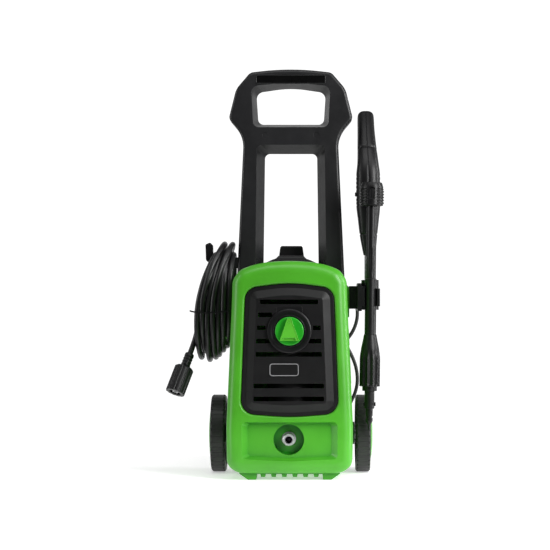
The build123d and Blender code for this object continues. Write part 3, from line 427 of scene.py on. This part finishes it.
def metal(name, colour, rough, stretch=(1, 1, 1), scale=300.0):
    """Bare or plated metal with fine tool marks and slight tarnish."""
    n = Nodes(name)
    tarnish = n.noise(n.place(), 60.0, 4.0)
    low, middle, high = shades(colour, 0.12)
    shade = n.ramp(tarnish, [(NOISE_LOW, low), (0.5, middle), (NOISE_HIGH, high)])
    n.link(shade, n.shader.inputs["Base Color"])
    marks = n.noise(n.place(stretch), scale, 3.0)
    n.link(n.spread(marks, rough - 0.06, rough + 0.08), n.shader.inputs["Roughness"])
    n.link(n.bump(marks, 0.25, 0.00004), n.shader.inputs["Normal"])
    n.shader.inputs["Metallic"].default_value = 1.0
    return n.material


GREEN = (0.062, 0.36, 0.014)
# The green that the shell's corners and recesses are painted down to, as painted shade.
PAINTED_SHADE_GREEN = (0.001, 0.19, 0.002)

FINISHES = {
    "green_shell": moulded("green_moulding", GREEN, 0.36, 1500.0, 0.00006, painted_shade_colour=PAINTED_SHADE_GREEN),
    "green_knob": moulded("dark_green_moulding", (0.014, 0.34, 0.012), 0.34),
    "green_pointer": moulded("light_green_moulding", (0.10, 0.50, 0.03), 0.34),
    "black_panel": moulded("panel_moulding", (0.004, 0.004, 0.0043), 0.46, 2200.0, 0.00005, 0.2, 0.32),
    "black_frame": moulded("frame_moulding", (0.008, 0.008, 0.009), 0.4, 1700.0, 0.00007, 0.2, 0.42),
    "black_trim": moulded("trim_moulding", (0.004, 0.004, 0.0045), 0.38, 1900.0, 0.00005, 0.2, 0.34),
    "inlay": moulded("inlay_moulding", (0.0012, 0.0012, 0.0013), 0.3, 2000.0, 0.00003, 0.2, 0.2),
    "badge": moulded("badge_print", (0.33, 0.33, 0.34), 0.35, 2500.0, 0.00002, 0.06),
    "wheel_plastic": tyre("wheel_moulding", (0.009, 0.009, 0.009), 0.5),
    "hose_rubber": rubber("hose_rubber", (0.006, 0.006, 0.0065), 0.36),
    "cord_rubber": rubber("cord_rubber", (0.010, 0.010, 0.010), 0.48),
    "rubber_mount": rubber("mount_rubber", (0.02, 0.02, 0.02), 0.6),
    "steel": metal("plated_steel", (0.55, 0.55, 0.56), 0.32, (1, 1, 6)),
    "aluminium": metal("cast_aluminium", (0.62, 0.62, 0.64), 0.38),
    "brass": metal("machined_brass", (0.72, 0.50, 0.22), 0.3, (6, 1, 1)),
    "copper_part": metal("copper_segments", (0.72, 0.36, 0.2), 0.3, (1, 1, 0.2)),
    "inner_plastic": moulded("nylon_moulding", (0.012, 0.012, 0.013), 0.55),
    "carbon": moulded("pressed_carbon", (0.02, 0.02, 0.021), 0.6, 900.0, 0.0001),
    "iron": metal("laminated_iron", (0.22, 0.22, 0.23), 0.5, (1, 1, 40), 60.0),
}


def finish_cad_nodes():
    for part in frame["record"]["subparts"]:
        node = frame["nodes"][part["node"]]
        if not node.material_slots:
            node.data.materials.append(None)
        for slot in node.material_slots:
            slot.material = FINISHES[part["material_slot"]]


finish_cad_nodes()
hose.data.materials.append(FINISHES["hose_rubber"])
power_cord.data.materials.append(FINISHES["cord_rubber"])

# ---------------------------------------------------------------- mesh helpers


def new_piece(name, mesh_builder, body, slot, replaced=(), smooth_angle=40.0, finish=None):
    """Makes a mesh object from a bmesh, gives it its finish, and puts it on its body."""
    mesh = bpy.data.meshes.new(name)
    bmesh.ops.recalc_face_normals(mesh_builder, faces=mesh_builder.faces[:])
    mesh_builder.to_mesh(mesh)
    mesh_builder.free()
    piece = bpy.data.objects.new(name, mesh)
    bpy.context.scene.collection.objects.link(piece)
    mesh.materials.append(finish or FINISHES[slot])
    mesh.shade_smooth()
    mesh.set_sharp_from_angle(angle=math.radians(smooth_angle))
    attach(piece, body)
    if replaced:
        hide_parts(*replaced)
    return piece


def add_rings(build, rings, ends="capped"):
    """Joins rings of points, each as many points, into a skin that is capped or closes on itself."""
    loops = [[build.verts.new(here(*p)) for p in ring] for ring in rings]
    count = len(loops[0])
    for first, second in zip(loops, loops[1:] + (loops[:1] if ends == "joined" else [])):
        for i in range(count):
            j = (i + 1) % count
            build.faces.new((first[i], first[j], second[j], second[i]))
    if ends == "capped":
        build.faces.new(loops[0][::-1])
        build.faces.new(loops[-1])


def turned_rings(start, direction, profile, sides=48):
    """Rings about an axis, from (distance along, radius) pairs."""
    axis = Vector(direction).normalized()
    side = axis.orthogonal().normalized()
    other = axis.cross(side)
    rings = []
    for along, radius in profile:
        centre = Vector(start) + axis * along
        rings.append([centre + (side * math.cos(a) + other * math.sin(a)) * radius
                      for a in (2 * math.pi * i / sides for i in range(sides))])
    return rings


def unit(vector):
    return Vector(vector).normalized()


def smooth_line(points, steps):
    """A smooth line through tuples of numbers, so many steps to each run."""
    ends = [points[0]] + list(points) + [points[-1]]
    line = []
    for before, here_now, after, beyond in zip(ends, ends[1:], ends[2:], ends[3:]):
        for i in range(steps):
            t = i / steps
            line.append(tuple(0.5 * (2 * q + (r - p) * t + (2 * p - 5 * q + 4 * r - v) * t ** 2
                                     + (3 * q - p - 3 * r + v) * t ** 3)
                              for p, q, r, v in zip(before, here_now, after, beyond)))
    return line + [tuple(points[-1])]


def add_block(build, low, high, edge=0.0):
    """A block between two corners, its edges rounded."""
    made = bmesh.ops.create_cube(build, size=1.0)
    middle = here(*[(a + b) / 2 for a, b in zip(low, high)])
    size = [(b - a) / 1000 for a, b in zip(low, high)]
    bmesh.ops.scale(build, vec=size, verts=made["verts"])
    bmesh.ops.translate(build, vec=middle, verts=made["verts"])
    if edge:
        edges = list(dict.fromkeys(e for v in made["verts"] for e in v.link_edges))
        bmesh.ops.bevel(build, geom=edges, offset=edge / 1000, segments=4, profile=0.5,
                        affect="EDGES")


# ---------------------------------------------------------------- gun

GUN_MIDDLE_X = 151.0
# Along the gun from its nose to its butt: y, z, half its depth, half its width, and its middle x.
GUN_SECTIONS = [
    (42, 422, 12, 11.5, 152.8), (42, 441, 13.5, 14.5, 151.9), (42, 463, 16, 17.4, 151.0),
    (40.5, 490, 20, 20.4, 150.8), (40, 517, 22, 23.3, 150.5), (40, 545, 22, 23.6, 150.3),
    (41, 577, 21.5, 23.3, 150.3), (47, 603, 19.5, 20.6, 150.0), (62, 634, 17.5, 18.6, 148.6),
    (81, 667, 16.5, 17.0, 147.5), (97, 692, 15.5, 16.4, 147.2), (101.5, 699.5, 14.5, 15.4, 147.2),
    (103.5, 702.5, 11, 12, 147.2)]
# The trigger guard's line, y and z, and half its depth and width.
GUN_GUARD = [(58, 478), (72, 478.5), (88, 484), (103, 502), (110, 535), (113, 580), (114, 620),
             (112, 648), (104, 668), (92, 680)]
GUARD_HALF_DEPTH, GUARD_HALF_WIDTH = 4.6, 9.5
GUN_GROOVES = [463.0, 627.0]
GUN_GROOVE_HALF, GUN_GROOVE_DEPTH = 1.2, 1.1
# The finger ribs on the gun's flanks: lowest, highest, how tall each is, and how deep the gaps are.
GUN_RIBS_LOW, GUN_RIBS_HIGH, GUN_RIB_STEP, GUN_RIB_DEPTH = 519, 575, 4, 0.9
TRIGGER_POCKET = ((143.5, 48, 476), (158.5, 74, 600))
LOCK_HOLE_START, LOCK_HOLE_LENGTH, LOCK_HOLE_R = (100, 38, 540), 100, 4.3
RING_ANGLES = sorted([i * 7.5 for i in range(48)] + [88.6, 91.4, 268.6, 271.4])


def gun_ring(y, z, half_depth, half_width, middle_x, slope, seam=0.7, power=0.78):
    """A squared oval across the gun, with a shallow seam down its front and its back."""
    ring = []
    for angle in RING_ANGLES:
        across = rounded(math.cos(math.radians(angle)), power) * half_width
        deep = rounded(math.sin(math.radians(angle)), power) * half_depth
        if angle in (90, 270):
            deep -= math.copysign(seam, deep)
        ring.append((middle_x + across, y + deep * slope[0], z + deep * slope[1]))
    return ring


def slope_at(line, i):
    """The direction in (y, z) across a line of sections, from the points beside one of them."""
    after, before = line[min(i + 1, len(line) - 1)], line[max(i - 1, 0)]
    along = Vector((after[0] - before[0], after[1] - before[1])).normalized()
    return (along.y, -along.x)


def grip_rings():
    """The gun's rings from nose to butt, with its two joint grooves and its finger ribs."""
    line = smooth_line(GUN_SECTIONS, 12)
    rings = []
    for i, (y, z, half_depth, half_width, middle_x) in enumerate(line):
        if any(abs(z - groove) < GUN_GROOVE_HALF for groove in GUN_GROOVES):
            half_depth, half_width = half_depth - GUN_GROOVE_DEPTH, half_width - GUN_GROOVE_DEPTH
        if GUN_RIBS_LOW < z < GUN_RIBS_HIGH and int(z / GUN_RIB_STEP) % 2:
            half_width -= GUN_RIB_DEPTH
        rings.append(gun_ring(y, z, half_depth, half_width, middle_x, slope_at(line, i)))
    return rings


def guard_rings():
    line = smooth_line(GUN_GUARD, 8)
    return [gun_ring(y, z, GUARD_HALF_DEPTH, GUARD_HALF_WIDTH, GUN_MIDDLE_X, slope_at(line, i), 0.5, 0.6)
            for i, (y, z) in enumerate(line)]


def cut_away(piece, cutter_mesh):
    """Takes the cutter's volume out of the piece for good."""
    mesh = bpy.data.meshes.new("cutter")
    bmesh.ops.recalc_face_normals(cutter_mesh, faces=cutter_mesh.faces[:])
    cutter_mesh.to_mesh(mesh)
    cutter_mesh.free()
    cutter = bpy.data.objects.new("cutter", mesh)
    bpy.context.scene.collection.objects.link(cutter)
    modifier = piece.modifiers.new("cut", "BOOLEAN")
    modifier.operation = "DIFFERENCE"
    modifier.solver = "EXACT"
    modifier.object = cutter
    bpy.context.view_layer.update()
    depsgraph = bpy.context.evaluated_depsgraph_get()
    cut = bpy.data.meshes.new_from_object(piece.evaluated_get(depsgraph))
    piece.modifiers.clear()
    old, piece.data = piece.data, cut
    bpy.data.meshes.remove(old)
    bpy.data.objects.remove(cutter)
    bpy.data.meshes.remove(mesh)


def make_gun():
    """The gun's moulding, with a pocket for the trigger and a hole for its lock, and its guard."""
    build = bmesh.new()
    add_rings(build, grip_rings())
    shells = ("gun_left_shell", "gun_right_shell")
    body = new_piece("gun_moulding", build, "gun", "black_trim", shells, 32)
    cuts = bmesh.new()
    add_block(cuts, *TRIGGER_POCKET)
    cut_away(body, cuts)
    cuts = bmesh.new()
    hole = [(0, LOCK_HOLE_R), (LOCK_HOLE_LENGTH, LOCK_HOLE_R)]
    add_rings(cuts, turned_rings(LOCK_HOLE_START, (1, 0, 0), hole, 32))
    cut_away(body, cuts)
    build = bmesh.new()
    add_rings(build, guard_rings())
    new_piece("trigger_guard", build, "gun", "black_trim", (), 32)


make_gun()

# ---------------------------------------------------------------- fittings


CRIMP_R = 9.0
CRIMP_GROOVES, CRIMP_START, CRIMP_STEP, CRIMP_DEPTH = 3, 2.5, 6, 0.9


def hose_fittings():
    """The crimped black sleeve on the hose's end and its steel tip with a sealing groove."""
    start, direction = HOSE_END[-1], Vector(HOSE_END[-1]) - Vector(HOSE_END[-2])
    profile = [(-5, 5.6), (-4.6, 7.6), (-3, 8.7), (-1, CRIMP_R)]
    low_r = CRIMP_R - CRIMP_DEPTH
    for i in range(CRIMP_GROOVES):
        at = CRIMP_START + CRIMP_STEP * i
        profile += [(at, CRIMP_R), (at + 0.6, low_r), (at + 2.4, low_r), (at + 3, CRIMP_R)]
    profile += [(22.6, CRIMP_R), (23.8, 8.0)]
    build = bmesh.new()
    add_rings(build, turned_rings(start, direction, profile))
    sleeve = new_piece("hose_crimp", build, "machine", "black_trim", ("hose_sleeve",))
    build = bmesh.new()
    add_rings(build, turned_rings(start, direction, [
        (20, 5.0), (60, 5.0), (61, 6.8), (67, 6.8), (67.4, 5.8), (69.6, 5.8), (70, 6.8), (75, 6.8),
        (76.2, 5.6), (76, 3.2), (70, 3.0)]))
    tip = new_piece("hose_tip", build, "machine", "steel", ("hose_sleeve",))
    return [sleeve, tip]


def band_corners(path, thick, tall):
    """Four corners across a band that runs round a closed path of points in plan."""
    rings = []
    count = len(path)
    for i, (x, y, z) in enumerate(path):
        run = Vector(path[(i + 1) % count]) - Vector(path[i - 1])
        out = unit((run.y, -run.x, 0)) * thick / 2
        rings.append([(x + out.x, y + out.y, z - tall / 2), (x + out.x, y + out.y, z + tall / 2),
                      (x - out.x, y - out.y, z + tall / 2), (x - out.x, y - out.y, z - tall / 2)])
    return rings


def run_between(start, end, steps):
    """The points strictly between two points in a plane."""
    return [(start[0] + (end[0] - start[0]) * i / steps, start[1] + (end[1] - start[1]) * i / steps)
            for i in range(1, steps)]


def rounded_loop(x0, x1, y0, y1, radius, corner_steps=6, run_steps=14):
    """A rounded rectangle's points, anticlockwise from its first corner."""
    loop = []
    corners = [(x1 - radius, y0 + radius, -90), (x1 - radius, y1 - radius, 0),
               (x0 + radius, y1 - radius, 90), (x0 + radius, y0 + radius, 180)]
    for x, y, first in corners:
        arc = []
        for i in range(corner_steps + 1):
            angle = math.radians(first + 90 * i / corner_steps)
            arc.append((x + radius * math.cos(angle), y + radius * math.sin(angle)))
        if loop:
            loop += run_between(loop[-1], arc[0], run_steps)
        loop += arc
    return loop + run_between(loop[-1], loop[0], run_steps)


TIE_LEFT, TIE_RIGHT, TIE_FRONT, TIE_BACK = -191.0, -113.5, -31.0, -14.5
TIE_Z, TIE_SAG = 314.5, 3.6
TIE_THICK, TIE_TALL = 0.9, 2.6


def make_hose_tie():
    """A thin strap that sags a little across the front strands."""
    path = []
    for x, y in rounded_loop(TIE_LEFT, TIE_RIGHT, TIE_FRONT, TIE_BACK, 5):
        share = (x - TIE_LEFT) / (TIE_RIGHT - TIE_LEFT)
        path.append((x, y, TIE_Z - TIE_SAG * math.sin(math.pi * share ** 0.7)))
    build = bmesh.new()
    add_rings(build, band_corners(path, TIE_THICK, TIE_TALL), "joined")
    return new_piece("hose_strap", build, "machine", "black_trim", ("hose_tie",), 30)


def add_frame(build, low, high, radius, levels):
    """A raised frame round a rounded rectangle from low to high in (x, z), by (inset, y)."""
    loops = []
    for inset, y in levels:
        loop = rounded_loop(low[0] + inset, high[0] - inset, low[1] + inset, high[1] - inset,
                            radius - inset)
        loops.append([(x, y, z) for x, z in loop])
    add_rings(build, loops, "joined")


def make_badge_line():
    """The printed outline on the badge."""
    build = bmesh.new()
    levels = [(0, -114.7), (1.3, -114.7), (1.3, -114.3), (0, -114.3)]
    add_frame(build, (-36.6, 194.6), (17.0, 217.4), 5, levels)
    new_piece("badge_line", build, "machine", "steel", (), 30, FINISHES["badge"])


def make_outlet_shade_plug():
    """A dark piece down inside the outlet, shaped like a check valve, put there as painted shade that
    darkens the bore.
    """
    build = bmesh.new()
    add_rings(build, turned_rings((-1.5, -74, 75.5), (0, -1, 0), [
        (0, 6.9), (9, 6.9), (9.6, 6.0), (10, 4.4), (14, 3.0), (15, 1.4)], 32))
    new_piece("outlet_shade_plug", build, "machine", "inner_plastic")


RELIEF_RIBS, RELIEF_STEP, RELIEF_R, RELIEF_TAPER = 8, 3.4, 8.0, 0.43


def make_cord_gland():
    """The cord's entry on the back, with a tapered, ribbed strain relief."""
    build = bmesh.new()
    add_block(build, (-62, 95, 128), (-38, 118, 150), 3)
    profile = []
    for i in range(RELIEF_RIBS):
        at, radius = RELIEF_STEP * i, RELIEF_R - RELIEF_TAPER * i
        profile += [(at, radius), (at + 1.9, radius - 0.1), (at + 2.1, radius - 1.0),
                    (at + 3.2, radius - 1.1)]
    profile[0] = (-0.5, 8.6)
    add_rings(build, turned_rings((-50, 107, 149.5), (0, 0, 1), profile + [(27.2, 3.9)], 32))
    return new_piece("cord_entry", build, "machine", "cord_rubber", ("cord_gland",), 32)


NECK_RIBS, NECK_STEP, NECK_R, NECK_GROWTH = 6, 3.5, 4.7, 0.5
PIN_OFFSET = 9.5


def make_plug():
    """The plug: ribbed neck, waisted body with a rim, and two steel pins in their sleeves."""
    start = Vector(CORD_TAIL[-1])
    direction = unit(start - Vector(CORD_TAIL[-2]))
    profile = [(-2, 4.2)]
    for i in range(NECK_RIBS):
        at, radius = NECK_STEP * i, NECK_R + NECK_GROWTH * i
        profile += [(at, radius), (at + 2.0, radius + 0.25), (at + 2.2, radius - 0.7),
                    (at + 3.3, radius - 0.5)]
    profile += [(22, 9.0), (24, 12.6), (28, 15.6), (33, 16.2), (38, 14.6), (46, 14.6), (49, 16.4),
                (51, 17.0), (56.5, 17.0), (58, 16.0)]
    build = bmesh.new()
    add_rings(build, turned_rings(start, direction, profile))
    body = new_piece("plug_body", build, "machine", "cord_rubber", ("power_plug",), 35)
    build = bmesh.new()
    for side in (-PIN_OFFSET, PIN_OFFSET):
        root = start + Vector((0, side, 0))
        add_rings(build, turned_rings(root, direction, [
            (56, 2.4), (67, 2.4), (67.2, 2.2), (75, 2.2), (76.4, 1.7), (77, 0.8)], 24))
    pins = new_piece("plug_pins", build, "machine", "steel", ("power_plug",), 35)
    return [body, pins]


LANCE_FOOT = (150.0, -25.0, 88.0)
LANCE_AXIS = (math.sin(math.radians(0.7)), 0.0, math.cos(math.radians(0.7)))
LANCE_FRONT = Vector((0, -1, 0))
LANCE_SIDE = LANCE_FRONT.cross(Vector(LANCE_AXIS))


def shaped_lance_rings(profile, radius_at, sides):
    """Rings round the lance whose radius at each height and angle from the front is shaped."""
    rings = []
    for height, radius in profile:
        centre = Vector(LANCE_FOOT) + Vector(LANCE_AXIS) * (height - LANCE_FOOT[2])
        ring = []
        for i in range(sides):
            angle = 2 * math.pi * i / sides
            out = LANCE_FRONT * math.cos(angle) + LANCE_SIDE * math.sin(angle)
            ring.append(centre + out * radius_at(height, angle, radius))
        rings.append(ring)
    return rings


def heights(low, high, step, radius):
    count = round((high - low) / step)
    return [(low + (high - low) * i / count, radius) for i in range(count + 1)]


FLUTES = 12
FLUTE_LOW, FLUTE_HIGH, FLUTE_DEPTH = 172.0, 243.0, 2.7


def grip_radius(height, angle, radius):
    """Rounded flutes that run out at the shoulder."""
    if not FLUTE_LOW < height < FLUTE_HIGH:
        return radius
    run_out = min(1, (FLUTE_HIGH - height) / 20, (height - FLUTE_LOW + 0.5) / 2)
    return radius - FLUTE_DEPTH * run_out * (0.5 + 0.5 * math.cos(FLUTES * angle)) ** 0.6


def make_lance_grip():
    profile = [(162, 10.3), (162.2, 13.4), (163, 14), (170.8, 14), (171, 19.2), (172, 20)]
    profile += heights(174, 222, 4, 20)
    profile += [(228, 19.7), (233, 19.1), (238, 18.2), (243, 17.2), (250, 15.7), (258, 14.0),
                (266, 12.6), (269.5, 12.0), (270, 10.3)]
    build = bmesh.new()
    add_rings(build, shaped_lance_rings(profile, grip_radius, 144))
    new_piece("fluted_grip", build, "lance", "black_trim", ("lance_grip",), 35)


RIB_LOW, RIB_HIGH, RIB_STEP, RIB_RISE = 518.0, 546.0, 5.4, 1.7
WINDOW_LOW, WINDOW_TOP, WINDOW_HALF, WINDOW_DEPTH = 527.0, 545.0, 4.0, 2.6
# The collar's outside is anything wider than this, and its ribs leave this angle free in front.
COLLAR_OUTSIDE_R, RIB_FREE_DEGREES = 19, 24


def collar_radius(height, angle, radius):
    """Ribs on both flanks, and a window with an arched top in front."""
    if radius < COLLAR_OUTSIDE_R:
        return radius
    from_front = abs((angle + math.pi) % (2 * math.pi) - math.pi)
    across = radius * math.sin(from_front)
    if from_front < 0.5 and height > WINDOW_LOW:
        over = max(0, height - WINDOW_TOP)
        if math.hypot(across, over) < WINDOW_HALF:
            return radius - WINDOW_DEPTH
    if from_front > math.radians(RIB_FREE_DEGREES) and RIB_LOW < height < RIB_HIGH:
        if (height - RIB_LOW) % RIB_STEP < RIB_STEP * 0.55:
            return radius + RIB_RISE
    return radius


def make_nozzle_collar():
    profile = [(514, 10.0), (514.2, 20.6), (515, 21.4)] + heights(516, 550, 0.9, 21.6)
    profile += [(552.5, 20.9), (555.5, 20.0), (558, 19.0), (558.5, 18.2), (558.5, 12.8),
                (548, 12.8)]
    build = bmesh.new()
    add_rings(build, shaped_lance_rings(profile, collar_radius, 144))
    new_piece("ribbed_collar", build, "nozzle", "black_trim", ("nozzle_collar",), 35)


def make_grip_inlay():
    """The inlay in the handle's front: a thin rim round a glossy strip."""
    build = bmesh.new()
    levels = [(0, 40.3), (0, 38.9), (0.5, 38.6), (1.3, 38.6), (1.8, 38.9), (1.8, 40.3)]
    add_frame(build, (-68.0, 754.8), (68.0, 772.8), 4, levels)
    new_piece("inlay_rim", build, "machine", "black_frame", (), 30)
    build = bmesh.new()
    strip = rounded_loop(-66.4, 66.4, 756.4, 771.2, 2.6)
    add_rings(build, [[(x, y, z) for x, z in strip] for y in (40.4, 39.8)])
    new_piece("grip_inlay", build, "machine", "black_trim", (), 30, FINISHES["inlay"])


KNOB_Z = 277.5
PANEL_FACE = -113.0


def inset_loop(points, inset):
    """A closed polygon in (x, z), clockwise seen from the front, moved inwards by the inset."""
    moved = []
    count = len(points)
    for i in range(count):
        here_now = Vector(points[i])
        run_in = (here_now - Vector(points[i - 1])).normalized()
        run_out = (Vector(points[(i + 1) % count]) - here_now).normalized()
        inward = Vector((run_in.y + run_out.y, -run_in.x - run_out.x)).normalized()
        across = max(0.35, inward.dot(Vector((run_out.y, -run_out.x))))
        place = here_now + inward * inset / across
        moved.append((place.x, place.y))
    return moved


def raised_rings(points, levels):
    """Rings of a polygon, one for each (inset, y)."""
    return [[(x, y, z) for x, z in inset_loop(points, inset)] for inset, y in levels]


def make_knob_pointer():
    """The knob's grip: a tapered wedge on two short legs, with a rim, and a round eye near its tip."""
    wedge = [(-3.8, 23.4), (-2.8, 24.2), (2.8, 24.2), (3.8, 23.4), (17.8, -16.6), (16.8, -17.8),
             (12.6, -17.8), (11.6, -16.8), (10.4, -12.6), (-10.4, -12.6), (-11.6, -16.8),
             (-12.6, -17.8), (-16.8, -17.8), (-17.8, -16.6)]
    wedge = [(x, KNOB_Z + z) for x, z in wedge]
    foot = wedge[:6] + wedge[-2:]
    build = bmesh.new()
    add_rings(build, raised_rings(foot, [
        (0.1, PANEL_FACE - 10.6), (0.1, PANEL_FACE - 16.4), (0.4, PANEL_FACE - 16.8)]))
    add_rings(build, raised_rings(wedge, [
        (0, PANEL_FACE - 16.0), (0, PANEL_FACE - 19.8), (0.4, PANEL_FACE - 20.5),
        (0.9, PANEL_FACE - 20.5), (1.2, PANEL_FACE - 20.2), (1.3, PANEL_FACE - 19.6)]))
    add_rings(build, turned_rings((0, PANEL_FACE - 19.2, KNOB_Z + 17.2), (0, -1, 0), [
        (0, 2.3), (0.9, 2.3), (1.2, 2.0), (1.2, 1.5), (0.6, 1.3)], 24))
    new_piece("pointer_grip", build, "knob", "green_pointer", ("knob_pointer",), 30)


def make_knob_collar():
    """The fixed ring round the knob, with a stepped bore and a low tab at its top."""
    build = bmesh.new()
    add_rings(build, turned_rings((0, PANEL_FACE + 0.2, KNOB_Z), (0, -1, 0), [
        (0, 41.0), (4.8, 41.0), (6.2, 40.4), (7.0, 39.2), (7.2, 37.8), (7.2, 34.0), (6.4, 33.0),
        (6.2, 29.8), (7.0, 29.0), (7.0, 28.0), (6.6, 27.6), (3.2, 27.5), (3.2, 12.0)], 96))
    tab = [(-24.5, 304), (-24.5, 320.5), (-23.3, 323), (-20.5, 324.4), (20.5, 324.4), (23.3, 323),
           (24.5, 320.5), (24.5, 304)]
    add_rings(build, raised_rings(tab, [
        (0, PANEL_FACE + 0.2), (0, PANEL_FACE - 1.0), (0.6, PANEL_FACE - 1.6)]))
    new_piece("knob_surround", build, "machine", "black_trim", ("knob_collar",), 30)


make_knob_pointer()
make_knob_collar()
make_lance_grip()
make_nozzle_collar()
make_grip_inlay()
hose_end_pieces = hose_fittings()
hose_strap = make_hose_tie()
make_badge_line()
make_outlet_shade_plug()
cord_entry = make_cord_gland()
plug_pieces = make_plug()

# ---------------------------------------------------------------- studio

FLOOR_R = 1.6
FADE_START, FADE_END = 0.26, 0.75
FLOOR_GLOW = 0.42


def make_floor():
    """A pale round floor that fades out into the backdrop."""
    build = bmesh.new()
    bmesh.ops.create_circle(build, cap_ends=True, segments=96, radius=FLOOR_R)
    mesh = bpy.data.meshes.new("floor")
    build.to_mesh(mesh)
    build.free()
    floor = bpy.data.objects.new("floor", mesh)
    bpy.context.scene.collection.objects.link(floor)
    n = Nodes("pale_floor")
    pale = [(NOISE_LOW, (0.92, 0.92, 0.92)), (NOISE_HIGH, (0.95, 0.95, 0.95))]
    n.link(n.ramp(n.noise(n.place(), 1.5), pale), n.shader.inputs["Base Color"])
    n.shader.inputs["Roughness"].default_value = 0.7
    n.shader.inputs["Emission Color"].default_value = (1, 1, 1, 1)
    n.shader.inputs["Emission Strength"].default_value = FLOOR_GLOW
    far = n.add("VectorMath", operation="LENGTH")
    n.link(n.place(), far.inputs[0])
    fade = n.add("MapRange", interpolation_type="SMOOTHSTEP")
    fade.inputs["From Min"].default_value = FADE_START
    fade.inputs["From Max"].default_value = FADE_END
    fade.inputs["To Min"].default_value = 1.0
    fade.inputs["To Max"].default_value = 0.0
    n.link(far.outputs["Value"], fade.inputs["Value"])
    n.link(fade.outputs["Result"], n.shader.inputs["Alpha"])
    mesh.materials.append(n.material)


BRIGHTEST = 1.1
# How bright the surround is from its front (0) through its sides (0.5) to straight behind (1).
BACKDROP = [(0.0, 0.07), (0.5, 0.22), (0.9, 0.4), (0.972, 1.0), (1.0, 1.0)]


def make_backdrop():
    """A white surround behind the machine that darkens towards the camera's side."""
    world = bpy.data.worlds.new("studio")
    world.use_nodes = True
    tree = world.node_tree
    coordinates = tree.nodes.new("ShaderNodeTexCoord")
    split = tree.nodes.new("ShaderNodeSeparateXYZ")
    shade = tree.nodes.new("ShaderNodeFloatCurve")
    curve = shade.mapping.curves[0]
    curve.points[0].location = BACKDROP[0]
    curve.points[1].location = BACKDROP[-1]
    for place in BACKDROP[1:-1]:
        curve.points.new(*place)
    shade.mapping.update()
    half = tree.nodes.new("ShaderNodeMath")
    half.operation = "MULTIPLY_ADD"
    half.inputs[1].default_value = half.inputs[2].default_value = 0.5
    bright = tree.nodes.new("ShaderNodeMath")
    bright.operation = "MULTIPLY"
    bright.inputs[1].default_value = BRIGHTEST
    tree.links.new(coordinates.outputs["Generated"], split.inputs["Vector"])
    tree.links.new(split.outputs["Y"], half.inputs[0])
    tree.links.new(half.outputs[0], shade.inputs["Value"])
    tree.links.new(shade.outputs[0], bright.inputs[0])
    tree.links.new(bright.outputs[0], tree.nodes["Background"].inputs["Strength"])
    tree.nodes["Background"].inputs["Color"].default_value = (1, 1, 1, 1)
    bpy.context.scene.world = world
    bpy.context.scene.view_settings.view_transform = "Standard"


LIT_SPOT = (0, 0, 380)


def area_light(name, place, size, power):
    data = bpy.data.lights.new(name, "AREA")
    data.shape = "RECTANGLE"
    data.size, data.size_y = size
    data.energy = power
    light = bpy.data.objects.new(name, data)
    light.location = here(*place)
    aim = here(*LIT_SPOT) - light.location
    light.rotation_mode = "QUATERNION"
    light.rotation_quaternion = aim.to_track_quat("-Z", "Y")
    bpy.context.scene.collection.objects.link(light)


make_floor()
make_backdrop()
area_light("key", (1500, -1500, 1100), (0.6, 1.6), 48)
area_light("fill", (-1900, -500, 700), (0.4, 1.8), 14)
area_light("top", (0, -900, 2000), (1.6, 0.8), 12)
area_light("edge", (1900, 100, 700), (0.25, 1.8), 22)
